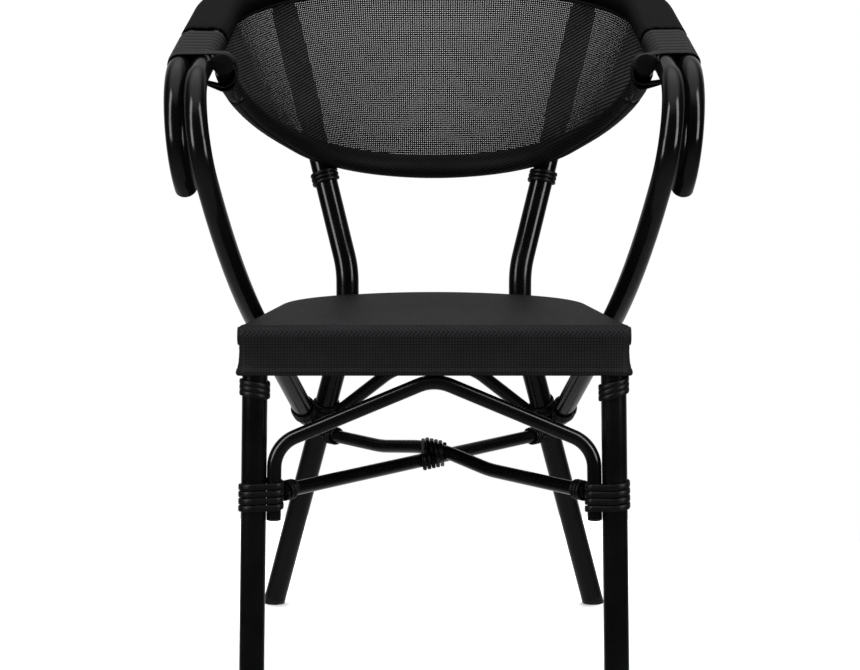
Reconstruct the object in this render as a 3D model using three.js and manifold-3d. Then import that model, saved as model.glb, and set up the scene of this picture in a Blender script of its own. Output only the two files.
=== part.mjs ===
// Stacking bistro armchair: welded black tube frame, mesh seat and back, wicker bindings.
// Millimetres, +Z up, +X to the right, the front of the chair faces -Y.
// Depths are measured back from the axis of the front legs, and the chair is centred at the end.
import * as THREE from 'three';
import { mergeVertices } from 'three/addons/utils/BufferGeometryUtils.js';
import Module from 'manifold-3d';

const wasm = await Module();
wasm.setup();

// Tube stock
const legDiameter = 28;
const armDiameter = 25;
const railDiameter = 20;
const braceDiameter = 16;
const legWall = 1.6;
const armWall = 1.5;
const railWall = 1.4;
const braceWall = 1.2;
const weldGap = 0.3;

// Seat
const seatHeight = 434;
const seatFrontHalfWidth = 214.8;
const seatSideHalfWidth = 181.8;
const seatSideDepth = 240;
const seatRearDepth = 390;
const seatCornerRadius = 9;
const skirtHeight = 55;
const seatFabric = 2.2;

// Front legs and feet
const frontLegSplay = 7;
const glideHeight = 6;
const glideSpigot = 22;
const spigotClearance = 0.5;

// Rear legs and uprights
const uprightHalfSpan = 107;
const uprightSeatClearance = 1.4;
const kneeDrop = 37;
const waistRise = 29;
const rearFootHalfSpan = 213;
const rearFootDepth = 570;
const rearLegBend = 100;
const uprightTopDegrees = 49;
const uprightTopShare = 0.95;
const uprightTopTrim = 2;

// Arms and top of the back: two hoops side by side in one sloping plane
const innerArmHalfSpan = 239;
const armSplay = 25;
const hoopGap = 0.6;
const armStartDepth = 78;
const armStartRise = 278.4;
const armSlopeDegrees = 14.9;
const innerHoopDepth = 487;
const innerHoopBend = 198;

// Scroll at the front of each arm, and the diagonal that runs on from it
const scrollRadius = 75;
const scrollTurnDegrees = 124.5;
const scrollEndInset = 15;
const diagonalBendInset = 13.5;
const diagonalBendDepth = 80;
const diagonalBendRise = 44;
const diagonalBendRadius = 610;
const diagonalEndRise = 25;
const diagonalEndSide = 19;
const diagonalEndAhead = 19;

// Lower back rail
const railStartDrop = 8;
const railSideInset = 7;
const railSideDepth = 211;
const railSideBend = 555;
const railRearDepth = 440;
const railRearRise = 149;
const railCornerInset = 123.5;
const railBend = 181;
const railStartReach = 8;
const bindingUnderRail = 14;

// Back panel, sleeve and pockets
const panelThickness = 1.6;
const panelStations = 24;
const panelRows = 1;
const panelStartShare = 0.1;
const sleeveThickness = 1.6;
const pocketThickness = 1.5;
const pocketBottomRise = 30;
const pocketTopDrop = 32;

// Braces under the seat
const archPeakRadius = 45;
const archShoulderRadius = 38;
const archRise = 70.5;
const archStubRun = 72;
const archStubOverhang = 9;
const rearArchEndRise = 9;
const rearArchShoulderHalfSpan = 44;
const rearArchShoulderRadius = 60;
const rearTabHeight = 12;
const stretcherAboveStub = 28;
const stretcherLift = 10;
const stretcherLiftRun = 55;
const stretcherBend = 220;
const tabLength = 14;
const tabThickness = 4;

// Wicker bindings: flat strip, wound as one unbroken length
const stripWidth = 7;
const stripThickness = 2.6;
const stripPitch = 7.9;
const stripClearance = 0.4;
const cordWidth = 4.4;
const cordThickness = 3;
const cordPitch = 5.2;
const bandWidth = 12;
const bandThickness = 2;
const bandPitch = 13;
const bandTurns = 8;
const railTurns = 2;
const slantShare = 1.2;
const frontTurns = 4;
const legTopTurns = 4;
const rearTurns = 4;
const collarTurns = 3;
const knotTurns = 5;
const legTopBindingDrop = 1;
const rearBindingRise = 15;
const leastSelfGap = 0.4;
const sameCornerDistance = 0.001;

// Small plastic parts
const capThickness = 3;
const plugThickness = 2;

// Facets
const legSides = 12;
const armSides = 10;
const braceSides = 8;
const windingSteps = 10;
const bendStepDegrees = 16;
const hoopStepDegrees = 15;
const longestBendStep = 68;
const cutterSides = 24;
const sleeveSides = 6;
const cutterOverrun = 4;
const seatCurvePoints = 8;
const stationToleranceShare = 0.000001;

// Sizes that follow
const legRadius = legDiameter / 2;
const armRadius = armDiameter / 2;
const railRadius = railDiameter / 2;
const braceRadius = braceDiameter / 2;
const halfTurn = Math.PI;
const fullTurn = 2 * Math.PI;
const seatFrontDepth = -(legRadius + weldGap + seatFabric);
const skirtFoot = seatHeight - skirtHeight;
const kneeHeight = seatHeight - kneeDrop;
const waistHeight = seatHeight + waistRise;
const lowerHeight = skirtFoot + braceRadius;
const archPeakHeight = lowerHeight - braceDiameter - weldGap;
const archShoulderHeight = archPeakHeight - archRise;
const frontBindingFoot = archShoulderHeight - archStubRun;
const archFootHeight = frontBindingFoot - archStubOverhang;
const stretcherHeight = archFootHeight + stretcherAboveStub;
const rearBindingFoot = stretcherHeight + rearBindingRise;
const rearArchEndHeight = stretcherHeight + rearArchEndRise;
const diagonalEndHeight = stretcherHeight + diagonalEndRise;
const radians = THREE.MathUtils.degToRad;

const frameColour = 0x141415;
const fabricColour = 0x232325;
const wickerColour = 0x19191a;
const plasticColour = 0x101011;

function finish(colour, roughness, metalness) {
  return new THREE.MeshStandardMaterial({ color: colour, roughness, metalness });
}
const frameFinish = () => finish(frameColour, 0.32, 0.25);
const fabricFinish = () => finish(fabricColour, 0.75, 0);
const wickerFinish = () => finish(wickerColour, 0.5, 0);
const plasticFinish = () => finish(plasticColour, 0.55, 0);

const chair = new THREE.Group();

function addPart(name, geometry, material) {
  const mesh = new THREE.Mesh(geometry, material);
  mesh.name = name;
  chair.add(mesh);
  return mesh;
}

const point = (x, y, z) => new THREE.Vector3(x, y, z);
const mirrored = (p, side) => point(p.x * side, p.y, p.z);
const sides = [['left', -1], ['right', 1]];

// A route through fixed stations. With a flat normal, the section keeps its y axis near it.
class Route extends THREE.Curve {
  constructor(stations, flatNormal) {
    super();
    this.stations = stations;
    this.flatNormal = flatNormal;
  }
  getPoint(t) {
    const last = this.stations.length - 1;
    const place = Math.min(Math.max(t, 0), 1) * last;
    const index = Math.min(Math.round(place), last);
    if (Math.abs(place - index) < stationToleranceShare) return this.stations[index].clone();
    const before = Math.floor(place);
    return this.stations[before].clone().lerp(this.stations[before + 1], place - before);
  }
  getPointAt(u) {
    return this.getPoint(u);
  }
  getTangentAt(u) {
    const last = this.stations.length - 1;
    const index = Math.round(u * last);
    const back = this.stations[index].clone().sub(this.stations[Math.max(index - 1, 0)]).normalize();
    const ahead = this.stations[Math.min(index + 1, last)].clone().sub(this.stations[index]).normalize();
    return back.add(ahead).normalize();
  }
  computeFrenetFrames(segments, closed) {
    if (!this.flatNormal) return super.computeFrenetFrames(segments, closed);
    const frames = { tangents: [], normals: [], binormals: [] };
    for (let i = 0; i <= segments; i += 1) {
      const tangent = this.getTangentAt(i / segments);
      const across = this.flatNormal.clone().cross(tangent).normalize();
      frames.tangents.push(tangent);
      frames.normals.push(across);
      frames.binormals.push(tangent.clone().cross(across));
    }
    return frames;
  }
}

// Stations of a bent tube: straight between corners, with an arc of the given radius at each.
function bentStations(corners, radii, stepDegrees) {
  const stations = [corners[0].clone()];
  for (let i = 1; i < corners.length - 1; i += 1) {
    const toBack = corners[i - 1].clone().sub(corners[i]).normalize();
    const toAhead = corners[i + 1].clone().sub(corners[i]).normalize();
    const turn = halfTurn - toBack.angleTo(toAhead);
    const run = radii[i - 1] * Math.tan(turn / 2);
    const middle = toBack.clone().add(toAhead).normalize();
    const centre = corners[i].clone().addScaledVector(middle, radii[i - 1] / Math.cos(turn / 2));
    const from = corners[i].clone().addScaledVector(toBack, run).sub(centre);
    const axis = from.clone().cross(toBack.clone().negate()).normalize();
    const byAngle = Math.round(turn / radians(stepDegrees));
    const byLength = Math.round((radii[i - 1] * turn) / longestBendStep);
    const steps = Math.max(1, byAngle, byLength);
    for (let k = 0; k <= steps; k += 1) {
      const arm = from.clone().applyAxisAngle(axis, (turn * k) / steps);
      stations.push(centre.clone().add(arm));
    }
  }
  stations.push(corners[corners.length - 1].clone());
  return stations;
}

function circlePoints(radius, count) {
  const points = [];
  for (let i = 0; i < count; i += 1) {
    const angle = (fullTurn * (i + 1 / 2)) / count;
    points.push(new THREE.Vector2(radius * Math.cos(angle), radius * Math.sin(angle)));
  }
  return points;
}

function along(shape, stations, flatNormal) {
  const route = new Route(stations, flatNormal);
  return new THREE.ExtrudeGeometry(shape, {
    steps: stations.length - 1,
    extrudePath: route,
    bevelEnabled: false,
  });
}

// A hollow tube, open at both ends. The bore has half as many sides as the outside.
function tube(stations, radius, wall, count, flatNormal) {
  const shape = new THREE.Shape(circlePoints(radius, count));
  const bore = circlePoints(radius - wall, count / 2).reverse();
  shape.holes.push(new THREE.Path(bore));
  return along(shape, stations, flatNormal);
}

function rod(stations, radius, count) {
  return along(new THREE.Shape(circlePoints(radius, count)), stations);
}

// Booleans on closed meshes
function solidFrom(geometry) {
  const bare = geometry.clone();
  bare.deleteAttribute('normal');
  bare.deleteAttribute('uv');
  const merged = mergeVertices(bare);
  const vertProperties = new Float32Array(merged.attributes.position.array);
  const triVerts = new Uint32Array(merged.index.array);
  return new wasm.Manifold(new wasm.Mesh({ numProp: 3, vertProperties, triVerts }));
}

function geometryFrom(solid) {
  const mesh = solid.getMesh();
  const geometry = new THREE.BufferGeometry();
  geometry.setAttribute('position', new THREE.BufferAttribute(mesh.vertProperties, 3));
  geometry.setIndex(new THREE.BufferAttribute(mesh.triVerts, 1));
  const loose = geometry.toNonIndexed();
  loose.computeVertexNormals();
  return loose;
}

function cut(geometry, cutters) {
  let solid = solidFrom(geometry);
  for (const cutter of cutters) solid = solid.subtract(solidFrom(cutter));
  return geometryFrom(solid);
}

// Seat outline, from the middle of the front round the right side to the middle of the rear
function seatSidePoints() {
  const half = new THREE.Path();
  const taper = (seatFrontHalfWidth - seatSideHalfWidth) / (seatSideDepth - seatFrontDepth);
  half.moveTo(0, seatFrontDepth);
  half.lineTo(seatFrontHalfWidth - seatCornerRadius, seatFrontDepth);
  half.quadraticCurveTo(
    seatFrontHalfWidth,
    seatFrontDepth,
    seatFrontHalfWidth - taper * seatCornerRadius,
    seatFrontDepth + seatCornerRadius,
  );
  half.lineTo(seatSideHalfWidth, seatSideDepth);
  const roundShare = 0.58;
  const roundDepth = (seatRearDepth - seatSideDepth) * roundShare;
  half.bezierCurveTo(
    seatSideHalfWidth - taper * roundDepth,
    seatSideDepth + roundDepth,
    seatSideHalfWidth * roundShare,
    seatRearDepth,
    0,
    seatRearDepth,
  );
  return half.getPoints(seatCurvePoints);
}

// The same outline moved inwards, as points on the right half
function insetSide(distance) {
  const points = seatSidePoints();
  const moved = [];
  for (let i = 0; i < points.length; i += 1) {
    const before = points[Math.max(i - 1, 0)];
    const after = points[Math.min(i + 1, points.length - 1)];
    const tangent = after.clone().sub(before).normalize();
    if (i === 0 || i === points.length - 1) tangent.set(Math.sign(tangent.x), 0);
    const inward = new THREE.Vector2(-tangent.y, tangent.x);
    moved.push(points[i].clone().addScaledVector(inward, distance));
  }
  moved[0].x = 0;
  moved[moved.length - 1].x = 0;
  return moved;
}

function seatShape(distance) {
  const right = insetSide(distance);
  const left = right.slice(1, -1).reverse().map((p) => new THREE.Vector2(-p.x, p.y));
  return new THREE.Shape([...right, ...left]);
}

// Half width of an inset outline at a given depth
function halfWidthAt(points, depth) {
  for (let i = points.length - 1; i > 0; i -= 1) {
    const far = points[i];
    const near = points[i - 1];
    if (near.y <= depth && depth <= far.y && far.y > near.y) {
      return near.x + ((far.x - near.x) * (depth - near.y)) / (far.y - near.y);
    }
  }
  return seatSideHalfWidth;
}

// Depth of the rear curve of the seat at a given half width
function rearDepthAt(points, half) {
  for (let i = points.length - 1; i > 0; i -= 1) {
    const far = points[i];
    const near = points[i - 1];
    if (far.x <= half && half <= near.x) {
      return far.y + ((near.y - far.y) * (half - far.x)) / (near.x - far.x);
    }
  }
  return seatSideDepth;
}

const seatEdge = insetSide(0);
const frontLegHalfSpan = halfWidthAt(seatEdge, 0) - seatFabric - weldGap - legRadius;
const frontLegTop = seatHeight - seatFabric - weldGap - railDiameter - weldGap;

function frontLegPoint(height, side) {
  const spread = (frontLegSplay * (skirtFoot - height)) / skirtFoot;
  return point(side * (frontLegHalfSpan + spread), 0, height);
}

// Uprights stand just clear of the rear of the seat
function uprightDepthFromSeat() {
  const near = rearDepthAt(seatEdge, uprightHalfSpan - legRadius);
  const far = rearDepthAt(seatEdge, uprightHalfSpan + legRadius);
  const slope = (near - far) / legDiameter;
  const reach = (legRadius + uprightSeatClearance) * Math.sqrt(1 + slope * slope);
  return rearDepthAt(seatEdge, uprightHalfSpan) + reach;
}
const uprightDepth = uprightDepthFromSeat();
const rearFoot = point(rearFootHalfSpan, rearFootDepth, 0);
const knee = point(uprightHalfSpan, uprightDepth, kneeHeight);
const waist = point(uprightHalfSpan, uprightDepth, waistHeight);

function rearLegPoint(height, side) {
  return mirrored(rearFoot.clone().lerp(knee, height / kneeHeight), side);
}
const rearLegDirection = (side) => mirrored(knee.clone().sub(rearFoot).normalize(), side);

function frontLegDirection(side) {
  return frontLegPoint(frontLegTop, side).sub(frontLegPoint(0, side)).normalize();
}

// Distance along a leaning leg from the floor to the seam between the tube and its glide
function glideSeam(direction) {
  const lean = Math.sqrt(1 - direction.z * direction.z);
  return (glideHeight + legRadius * lean) / direction.z;
}

function legFoot(onFloor, direction) {
  return onFloor.addScaledVector(direction, glideSeam(direction));
}

// The sloping plane of the two hoops
const slope = radians(armSlopeDegrees);
const hoopRun = point(0, Math.cos(slope), Math.sin(slope));
const hoopNormal = point(0, -Math.sin(slope), Math.cos(slope));
const hoopSpacing = armDiameter + hoopGap;
const innerHoopReach = (innerHoopDepth - armStartDepth) / Math.cos(slope);

function onHoopPlane(x, reach) {
  const start = point(x, armStartDepth, seatHeight + armStartRise);
  return start.addScaledVector(hoopRun, reach);
}

// The arms splay out from the corners of the back to the corners of the scrolls
const scrollRun = scrollRadius * Math.tan(radians(scrollTurnDegrees) / 2);
const splayShare = armSplay / (innerHoopReach + scrollRun);
const splaySecant = Math.sqrt(1 + splayShare * splayShare);

// A point on the arm line that lies the given distance outside the inner one
function armPoint(outside, reach, side) {
  const splay = splayShare * (innerHoopReach - reach);
  return onHoopPlane(side * (innerArmHalfSpan + outside * splaySecant + splay), reach);
}

// The corner where that arm line meets the line across the back
function hoopCorner(outside, side) {
  return armPoint(outside, innerHoopReach + outside, side);
}

// A point on the rounded rear of a hoop that lies the given distance outside the inner one
function hoopArcPoint(outside, angle, side) {
  const centreX = innerArmHalfSpan + innerHoopBend * (splayShare - splaySecant);
  const centreReach = innerHoopReach - innerHoopBend;
  const radius = innerHoopBend + outside;
  const x = centreX + radius * Math.cos(angle);
  return onHoopPlane(side * x, centreReach + radius * Math.sin(angle));
}

// Scroll: the arm line meets the diagonal line at a corner ahead of the chair
const scrollHeading = slope + radians(scrollTurnDegrees);
const diagonalRun = point(0, -Math.cos(scrollHeading), -Math.sin(scrollHeading));

const scrollCorner = (outside, side) => armPoint(outside, -scrollRun, side);

function scrollEnd(outside, side) {
  const end = scrollCorner(outside, side).addScaledVector(diagonalRun, scrollRun + armRadius / 4);
  end.x -= side * scrollEndInset;
  return end;
}

function diagonalBend(side) {
  const height = seatHeight + diagonalBendRise;
  return point(side * (innerArmHalfSpan - diagonalBendInset), diagonalBendDepth, height);
}

function diagonalEnd(side) {
  const end = rearLegPoint(diagonalEndHeight, side);
  end.x += side * diagonalEndSide;
  end.y -= diagonalEndAhead;
  return end;
}

// Flat strip or cord wound round one or more tubes that run along one axis.
// circlesAt(s, turn) gives the circles that the strip goes round, in the plane across the axis.
function windingStations(spec) {
  const { origin, axis, zeroSide, circlesAt, turns, pitch, thickness, width } = spec;
  const across = axis.clone().cross(zeroSide).normalize();
  const swell = 1 / Math.cos(halfTurn / windingSteps);
  const heading = (k) => {
    const angle = (fullTurn * k) / windingSteps;
    return new THREE.Vector2(Math.cos(angle), Math.sin(angle));
  };
  const circlesThere = (k) => circlesAt((pitch * k) / windingSteps, Math.floor(k / windingSteps));
  const outermost = (k) => {
    const out = heading(k);
    const reaches = circlesThere(k).map((c) => c.x * out.x + c.y * out.y + c.radius);
    return reaches.indexOf(Math.max(...reaches));
  };
  const place = (k, which) => {
    const out = heading(k);
    const circle = circlesThere(k)[which];
    const radius = (circle.radius + stripClearance + thickness / 2) * swell;
    return origin
      .clone()
      .addScaledVector(axis, (pitch * k) / windingSteps)
      .addScaledVector(zeroSide, circle.x + radius * out.x)
      .addScaledVector(across, circle.y + radius * out.y);
  };
  const stations = [];
  const last = turns * windingSteps;
  const halvings = 12;
  for (let k = 0; k <= last; k += 1) {
    const which = outermost(k);
    const before = outermost(Math.max(k - 1, 0));
    if (which !== before) {
      let low = k - 1;
      let high = k;
      for (let i = 0; i < halvings; i += 1) {
        const middle = (low + high) / 2;
        if (outermost(middle) === before) low = middle;
        else high = middle;
      }
      stations.push(place(low, before), place(low, outermost(high)));
    }
    stations.push(place(k, which));
  }
  const end = stations.length - 1;
  const lead = stations[0].clone().sub(stations[1]).normalize().multiplyScalar(width);
  const tail = stations[end].clone().sub(stations[end - 1]).normalize().multiplyScalar(width);
  stations.unshift(stations[0].clone().add(lead));
  stations.push(stations[stations.length - 1].clone().add(tail));
  return stations;
}

// Least distance between points of the strip that lie half a turn or more apart
function selfGap(geometry, stations) {
  const perStation = [];
  const position = geometry.attributes.position;
  for (const station of stations) perStation.push({ station, corners: [] });
  const corner = new THREE.Vector3();
  for (let i = 0; i < position.count; i += 1) {
    corner.fromBufferAttribute(position, i);
    let nearest = perStation[0];
    for (const entry of perStation) {
      if (entry.station.distanceToSquared(corner) < nearest.station.distanceToSquared(corner)) {
        nearest = entry;
      }
    }
    const known = nearest.corners.some((c) => c.distanceTo(corner) < sameCornerDistance);
    if (!known) nearest.corners.push(corner.clone());
  }
  let least = Infinity;
  const apart = Math.ceil(windingSteps / 2);
  for (let i = 0; i < perStation.length; i += 1) {
    for (let j = i + apart; j < perStation.length; j += 1) {
      for (const a of perStation[i].corners) {
        for (const b of perStation[j].corners) least = Math.min(least, a.distanceTo(b));
      }
    }
  }
  return least;
}

const windings = [];

function addWinding(name, spec) {
  const stations = windingStations(spec);
  const halfThick = spec.thickness / 2;
  const halfWide = spec.width / 2;
  const section = new THREE.Shape([
    new THREE.Vector2(-halfThick, -halfWide),
    new THREE.Vector2(halfThick, -halfWide),
    new THREE.Vector2(halfThick, halfWide),
    new THREE.Vector2(-halfThick, halfWide),
  ]);
  const geometry = along(section, stations, spec.axis);
  windings.push({ name, gap: selfGap(geometry, stations) });
  addPart(name, geometry, wickerFinish());
  return geometry;
}

const strip = { pitch: stripPitch, thickness: stripThickness, width: stripWidth };
const cord = { pitch: cordPitch, thickness: cordThickness, width: cordWidth };
const band = { pitch: bandPitch, thickness: bandThickness, width: bandWidth };
const oneTube = (radius) => () => [{ x: 0, y: 0, radius }];

// Outside of a winding, seen from the middle of the tube under it
function windingRadius(tubeRadius, kind) {
  const swell = 1 / Math.cos(halfTurn / windingSteps);
  return (tubeRadius + stripClearance + kind.thickness / 2) * swell + kind.thickness / 2;
}

// Front legs
for (const [word, side] of sides) {
  const foot = legFoot(frontLegPoint(0, side), frontLegDirection(side));
  const stations = [foot, frontLegPoint(frontLegTop, side)];
  addPart('front_leg_' + word, tube(stations, legRadius, legWall, legSides), frameFinish());
}

// Inner hoop: one tube from rear joint to rear joint, over both arms and round the back
function innerHoopStations() {
  const corners = [
    diagonalEnd(-1),
    diagonalBend(-1),
    scrollCorner(0, -1),
    hoopCorner(0, -1),
    hoopCorner(0, 1),
    scrollCorner(0, 1),
    diagonalBend(1),
    diagonalEnd(1),
  ];
  const radii = [
    diagonalBendRadius,
    scrollRadius,
    innerHoopBend,
    innerHoopBend,
    scrollRadius,
    diagonalBendRadius,
  ];
  return bentStations(corners, radii, hoopStepDegrees);
}

// Outer hoop: the same line outside the inner one, with a free scroll end at each arm
function outerHoopStations() {
  const bend = innerHoopBend + hoopSpacing;
  const corners = [
    scrollEnd(hoopSpacing, -1),
    scrollCorner(hoopSpacing, -1),
    hoopCorner(hoopSpacing, -1),
    hoopCorner(hoopSpacing, 1),
    scrollCorner(hoopSpacing, 1),
    scrollEnd(hoopSpacing, 1),
  ];
  return bentStations(corners, [scrollRadius, bend, bend, scrollRadius], hoopStepDegrees);
}
const innerHoop = innerHoopStations();
const outerHoop = outerHoopStations();

function rearLegCutter(radius, side) {
  const axis = rearLegDirection(side);
  const foot = rearLegPoint(rearBindingFoot, side).addScaledVector(axis, -legDiameter * 2);
  const top = rearLegPoint(rearBindingFoot, side).addScaledVector(axis, legDiameter * 3);
  return rod([foot, top], radius, cutterSides);
}
const rearBindingRadius = windingRadius(legRadius, strip) + weldGap;
const rearCutters = sides.map(([, side]) => rearLegCutter(rearBindingRadius, side));

const innerHoopSolid = cut(tube(innerHoop, armRadius, armWall, armSides), rearCutters);
addPart('arm_hoop_inner', innerHoopSolid, frameFinish());
addPart('arm_hoop_outer', tube(outerHoop, armRadius, armWall, armSides), frameFinish());

// Rear legs and uprights: foot, knee under the seat, waist above it, top under the hoops
function uprightTop(side) {
  return hoopArcPoint(hoopSpacing * uprightTopShare, radians(uprightTopDegrees), side);
}

function uprightRun(side) {
  return uprightTop(side).sub(mirrored(waist, side)).normalize();
}

function rearLegStations(side) {
  const corners = [
    legFoot(rearLegPoint(0, side), rearLegDirection(side)),
    mirrored(knee, side),
    mirrored(waist, side),
    uprightTop(side).addScaledVector(uprightRun(side), -uprightTopTrim),
  ];
  return bentStations(corners, [rearLegBend, rearLegBend], bendStepDegrees);
}
const hoopCutters = [
  rod(innerHoop, armRadius + weldGap, armSides),
  rod(outerHoop, armRadius + weldGap, armSides),
];
for (const [word, side] of sides) {
  const leg = tube(rearLegStations(side), legRadius, legWall, legSides);
  addPart('rear_leg_' + word, cut(leg, hoopCutters), frameFinish());
}

// Glides: a foot disc and a spigot that fills the end of the tube
const spigotRadius = (legRadius - legWall) * Math.cos(fullTurn / legSides) - spigotClearance;
function glide(foot, direction) {
  const seam = glideSeam(direction);
  const profile = [
    new THREE.Vector2(0, -legRadius),
    new THREE.Vector2(legRadius, -legRadius),
    new THREE.Vector2(legRadius, seam - weldGap),
    new THREE.Vector2(spigotRadius, seam - weldGap),
    new THREE.Vector2(spigotRadius, seam + glideSpigot),
    new THREE.Vector2(0, seam + glideSpigot),
  ];
  const turned = new THREE.LatheGeometry(profile, legSides);
  const lean = new THREE.Quaternion().setFromUnitVectors(point(0, 1, 0), direction);
  turned.applyQuaternion(lean);
  return turned.translate(foot.x, foot.y, foot.z);
}

// A leaning foot is cut level, so that it stands flat
function levelCut(geometry) {
  const size = legDiameter * 3;
  const slab = new THREE.BoxGeometry(size, size, size);
  geometry.computeBoundingBox();
  const centre = geometry.boundingBox.getCenter(new THREE.Vector3());
  slab.translate(centre.x, centre.y, -size / 2);
  return cut(geometry, [slab]);
}

for (const [word, side] of sides) {
  const front = levelCut(glide(frontLegPoint(0, side), frontLegDirection(side)));
  addPart('front_glide_' + word, front, plasticFinish());
  const rear = levelCut(glide(rearLegPoint(0, side), rearLegDirection(side)));
  addPart('rear_glide_' + word, rear, plasticFinish());
}

// Lower back rail: a planar curve from arm to arm, notched where it bears on the uprights
const railStartAngle = radians(railStartDrop);
const railStartDistance = armRadius + railRadius + weldGap * 2;
function railStart(side) {
  const start = armPoint(0, railStartReach, 1);
  start.x -= railStartDistance * Math.cos(railStartAngle);
  start.z -= railStartDistance * Math.sin(railStartAngle);
  return mirrored(start, side);
}

const railRearHeight = seatHeight + railRearRise;
function railSide(side) {
  const start = railStart(side);
  const share = (railSideDepth - start.y) / (railRearDepth - start.y);
  const height = start.z + (railRearHeight - start.z) * share;
  return point(side * (innerArmHalfSpan - railSideInset), railSideDepth, height);
}

function backRailStations() {
  const cornerHalfSpan = innerArmHalfSpan - railCornerInset;
  const corners = [
    railStart(-1),
    railSide(-1),
    point(-cornerHalfSpan, railRearDepth, railRearHeight),
    point(cornerHalfSpan, railRearDepth, railRearHeight),
    railSide(1),
    railStart(1),
  ];
  return bentStations(corners, [railSideBend, railBend, railBend, railSideBend], hoopStepDegrees);
}
const backRail = backRailStations();
const uprightCutters = sides.map(([, side]) => {
  const low = mirrored(waist, side);
  const stations = [low, uprightTop(side).addScaledVector(uprightRun(side), weldGap)];
  return rod(stations, legRadius + weldGap, cutterSides);
});
const backRailTube = tube(backRail, railRadius, railWall, braceSides);
addPart('back_rail', cut(backRailTube, uprightCutters), frameFinish());

// Seat frame: an upper and a lower rail at the front, and a rim behind each
const frontRailDepth = seatFrontDepth + seatFabric + weldGap + railRadius;
const frontRailHeight = seatHeight - seatFabric - weldGap - railRadius;
const rimInset = seatFabric + weldGap * 2 + railRadius;
const frontRailHalf = seatFrontHalfWidth - plugThickness - weldGap * 2;

addPart(
  'seat_front_rail',
  tube(
    [
      point(-frontRailHalf, frontRailDepth, frontRailHeight),
      point(frontRailHalf, frontRailDepth, frontRailHeight),
    ],
    railRadius,
    railWall,
    armSides,
  ),
  frameFinish(),
);

// Stations of a rim that follows the seat outline behind a given depth
function rimStations(inset, startDepth, height) {
  const right = insetSide(inset).filter((p) => p.y > startDepth + seatCornerRadius);
  const start = new THREE.Vector2(halfWidthAt(insetSide(inset), startDepth), startDepth);
  const half = [start, ...right];
  const left = half.slice(0, -1).map((p) => point(-p.x, p.y, height));
  const rest = half.slice().reverse().map((p) => point(p.x, p.y, height));
  return [...left, ...rest];
}
const up = point(0, 0, 1);
const frontRailEnds = [
  point(-seatFrontHalfWidth * 2, frontRailDepth, frontRailHeight),
  point(seatFrontHalfWidth * 2, frontRailDepth, frontRailHeight),
];
const frontRailCutter = rod(frontRailEnds, railRadius + weldGap, cutterSides);
const rimStart = frontRailDepth + railRadius / 2;
const rimTube = tube(
  rimStations(rimInset, rimStart, frontRailHeight),
  railRadius,
  railWall,
  braceSides,
  up,
);
addPart('seat_rim', cut(rimTube, [frontRailCutter]), frameFinish());

const lowerFrontDepth = seatFrontDepth + seatFabric + weldGap + braceRadius;
const lowerInset = seatFabric + weldGap * 2 + braceRadius;
const frontLegCutters = sides.map(([, side]) =>
  rod([frontLegPoint(0, side), frontLegPoint(seatHeight, side)], legRadius + weldGap, cutterSides),
);
const lowerFrontTube = tube(
  [
    point(-frontLegHalfSpan, lowerFrontDepth, lowerHeight),
    point(frontLegHalfSpan, lowerFrontDepth, lowerHeight),
  ],
  braceRadius,
  braceWall,
  braceSides,
);
addPart('seat_lower_front_rail', cut(lowerFrontTube, frontLegCutters), frameFinish());
const lowerRimTube = tube(
  rimStations(lowerInset, 0, lowerHeight),
  braceRadius,
  braceWall,
  braceSides,
  up,
);
addPart('seat_lower_rim', cut(lowerRimTube, frontLegCutters), frameFinish());

// Crossbar between the rear legs, under the rear of the lower rim
const crossbarDepth = seatRearDepth - lowerInset;
const crossbarHeight = skirtFoot - weldGap - braceRadius;
const crossbarHalf = rearLegPoint(crossbarHeight, 1).x;
const fullLegCutters = sides.map(([, side]) =>
  rod(rearLegStations(side), legRadius + weldGap, legSides),
);
const crossbarTube = tube(
  [
    point(-crossbarHalf, crossbarDepth, crossbarHeight),
    point(crossbarHalf, crossbarDepth, crossbarHeight),
  ],
  braceRadius,
  braceWall,
  braceSides,
);
addPart('rear_crossbar', cut(crossbarTube, fullLegCutters), frameFinish());

// Front arch: a stub beside each leg, a shoulder, a straight run and a rounded peak
const stubAway = legRadius + braceRadius + weldGap;
function frontStub(height, side) {
  const p = frontLegPoint(height, side);
  p.x -= side * stubAway;
  return p;
}

// Middle corner of an arch, so that its rounding has its top at the given peak
function peakCorner(end, peak, radius) {
  const foot = point(0, end.y, end.z);
  const rise = peak.clone().sub(foot).normalize();
  const passes = 20;
  let corner = peak.clone();
  for (let i = 0; i < passes; i += 1) {
    const steepness = Math.atan2(corner.distanceTo(foot), end.x);
    corner = peak.clone().addScaledVector(rise, radius / Math.cos(steepness) - radius);
  }
  return corner;
}
const frontPeak = point(0, lowerFrontDepth, archPeakHeight);
const frontCorner = peakCorner(frontStub(archShoulderHeight, 1), frontPeak, archPeakRadius);
const frontArch = bentStations(
  [
    frontStub(archFootHeight, -1),
    frontStub(archShoulderHeight, -1),
    frontCorner,
    frontStub(archShoulderHeight, 1),
    frontStub(archFootHeight, 1),
  ],
  [archShoulderRadius, archPeakRadius, archShoulderRadius],
  bendStepDegrees,
);
addPart('front_arch', tube(frontArch, braceRadius, braceWall, braceSides), frameFinish());

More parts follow.
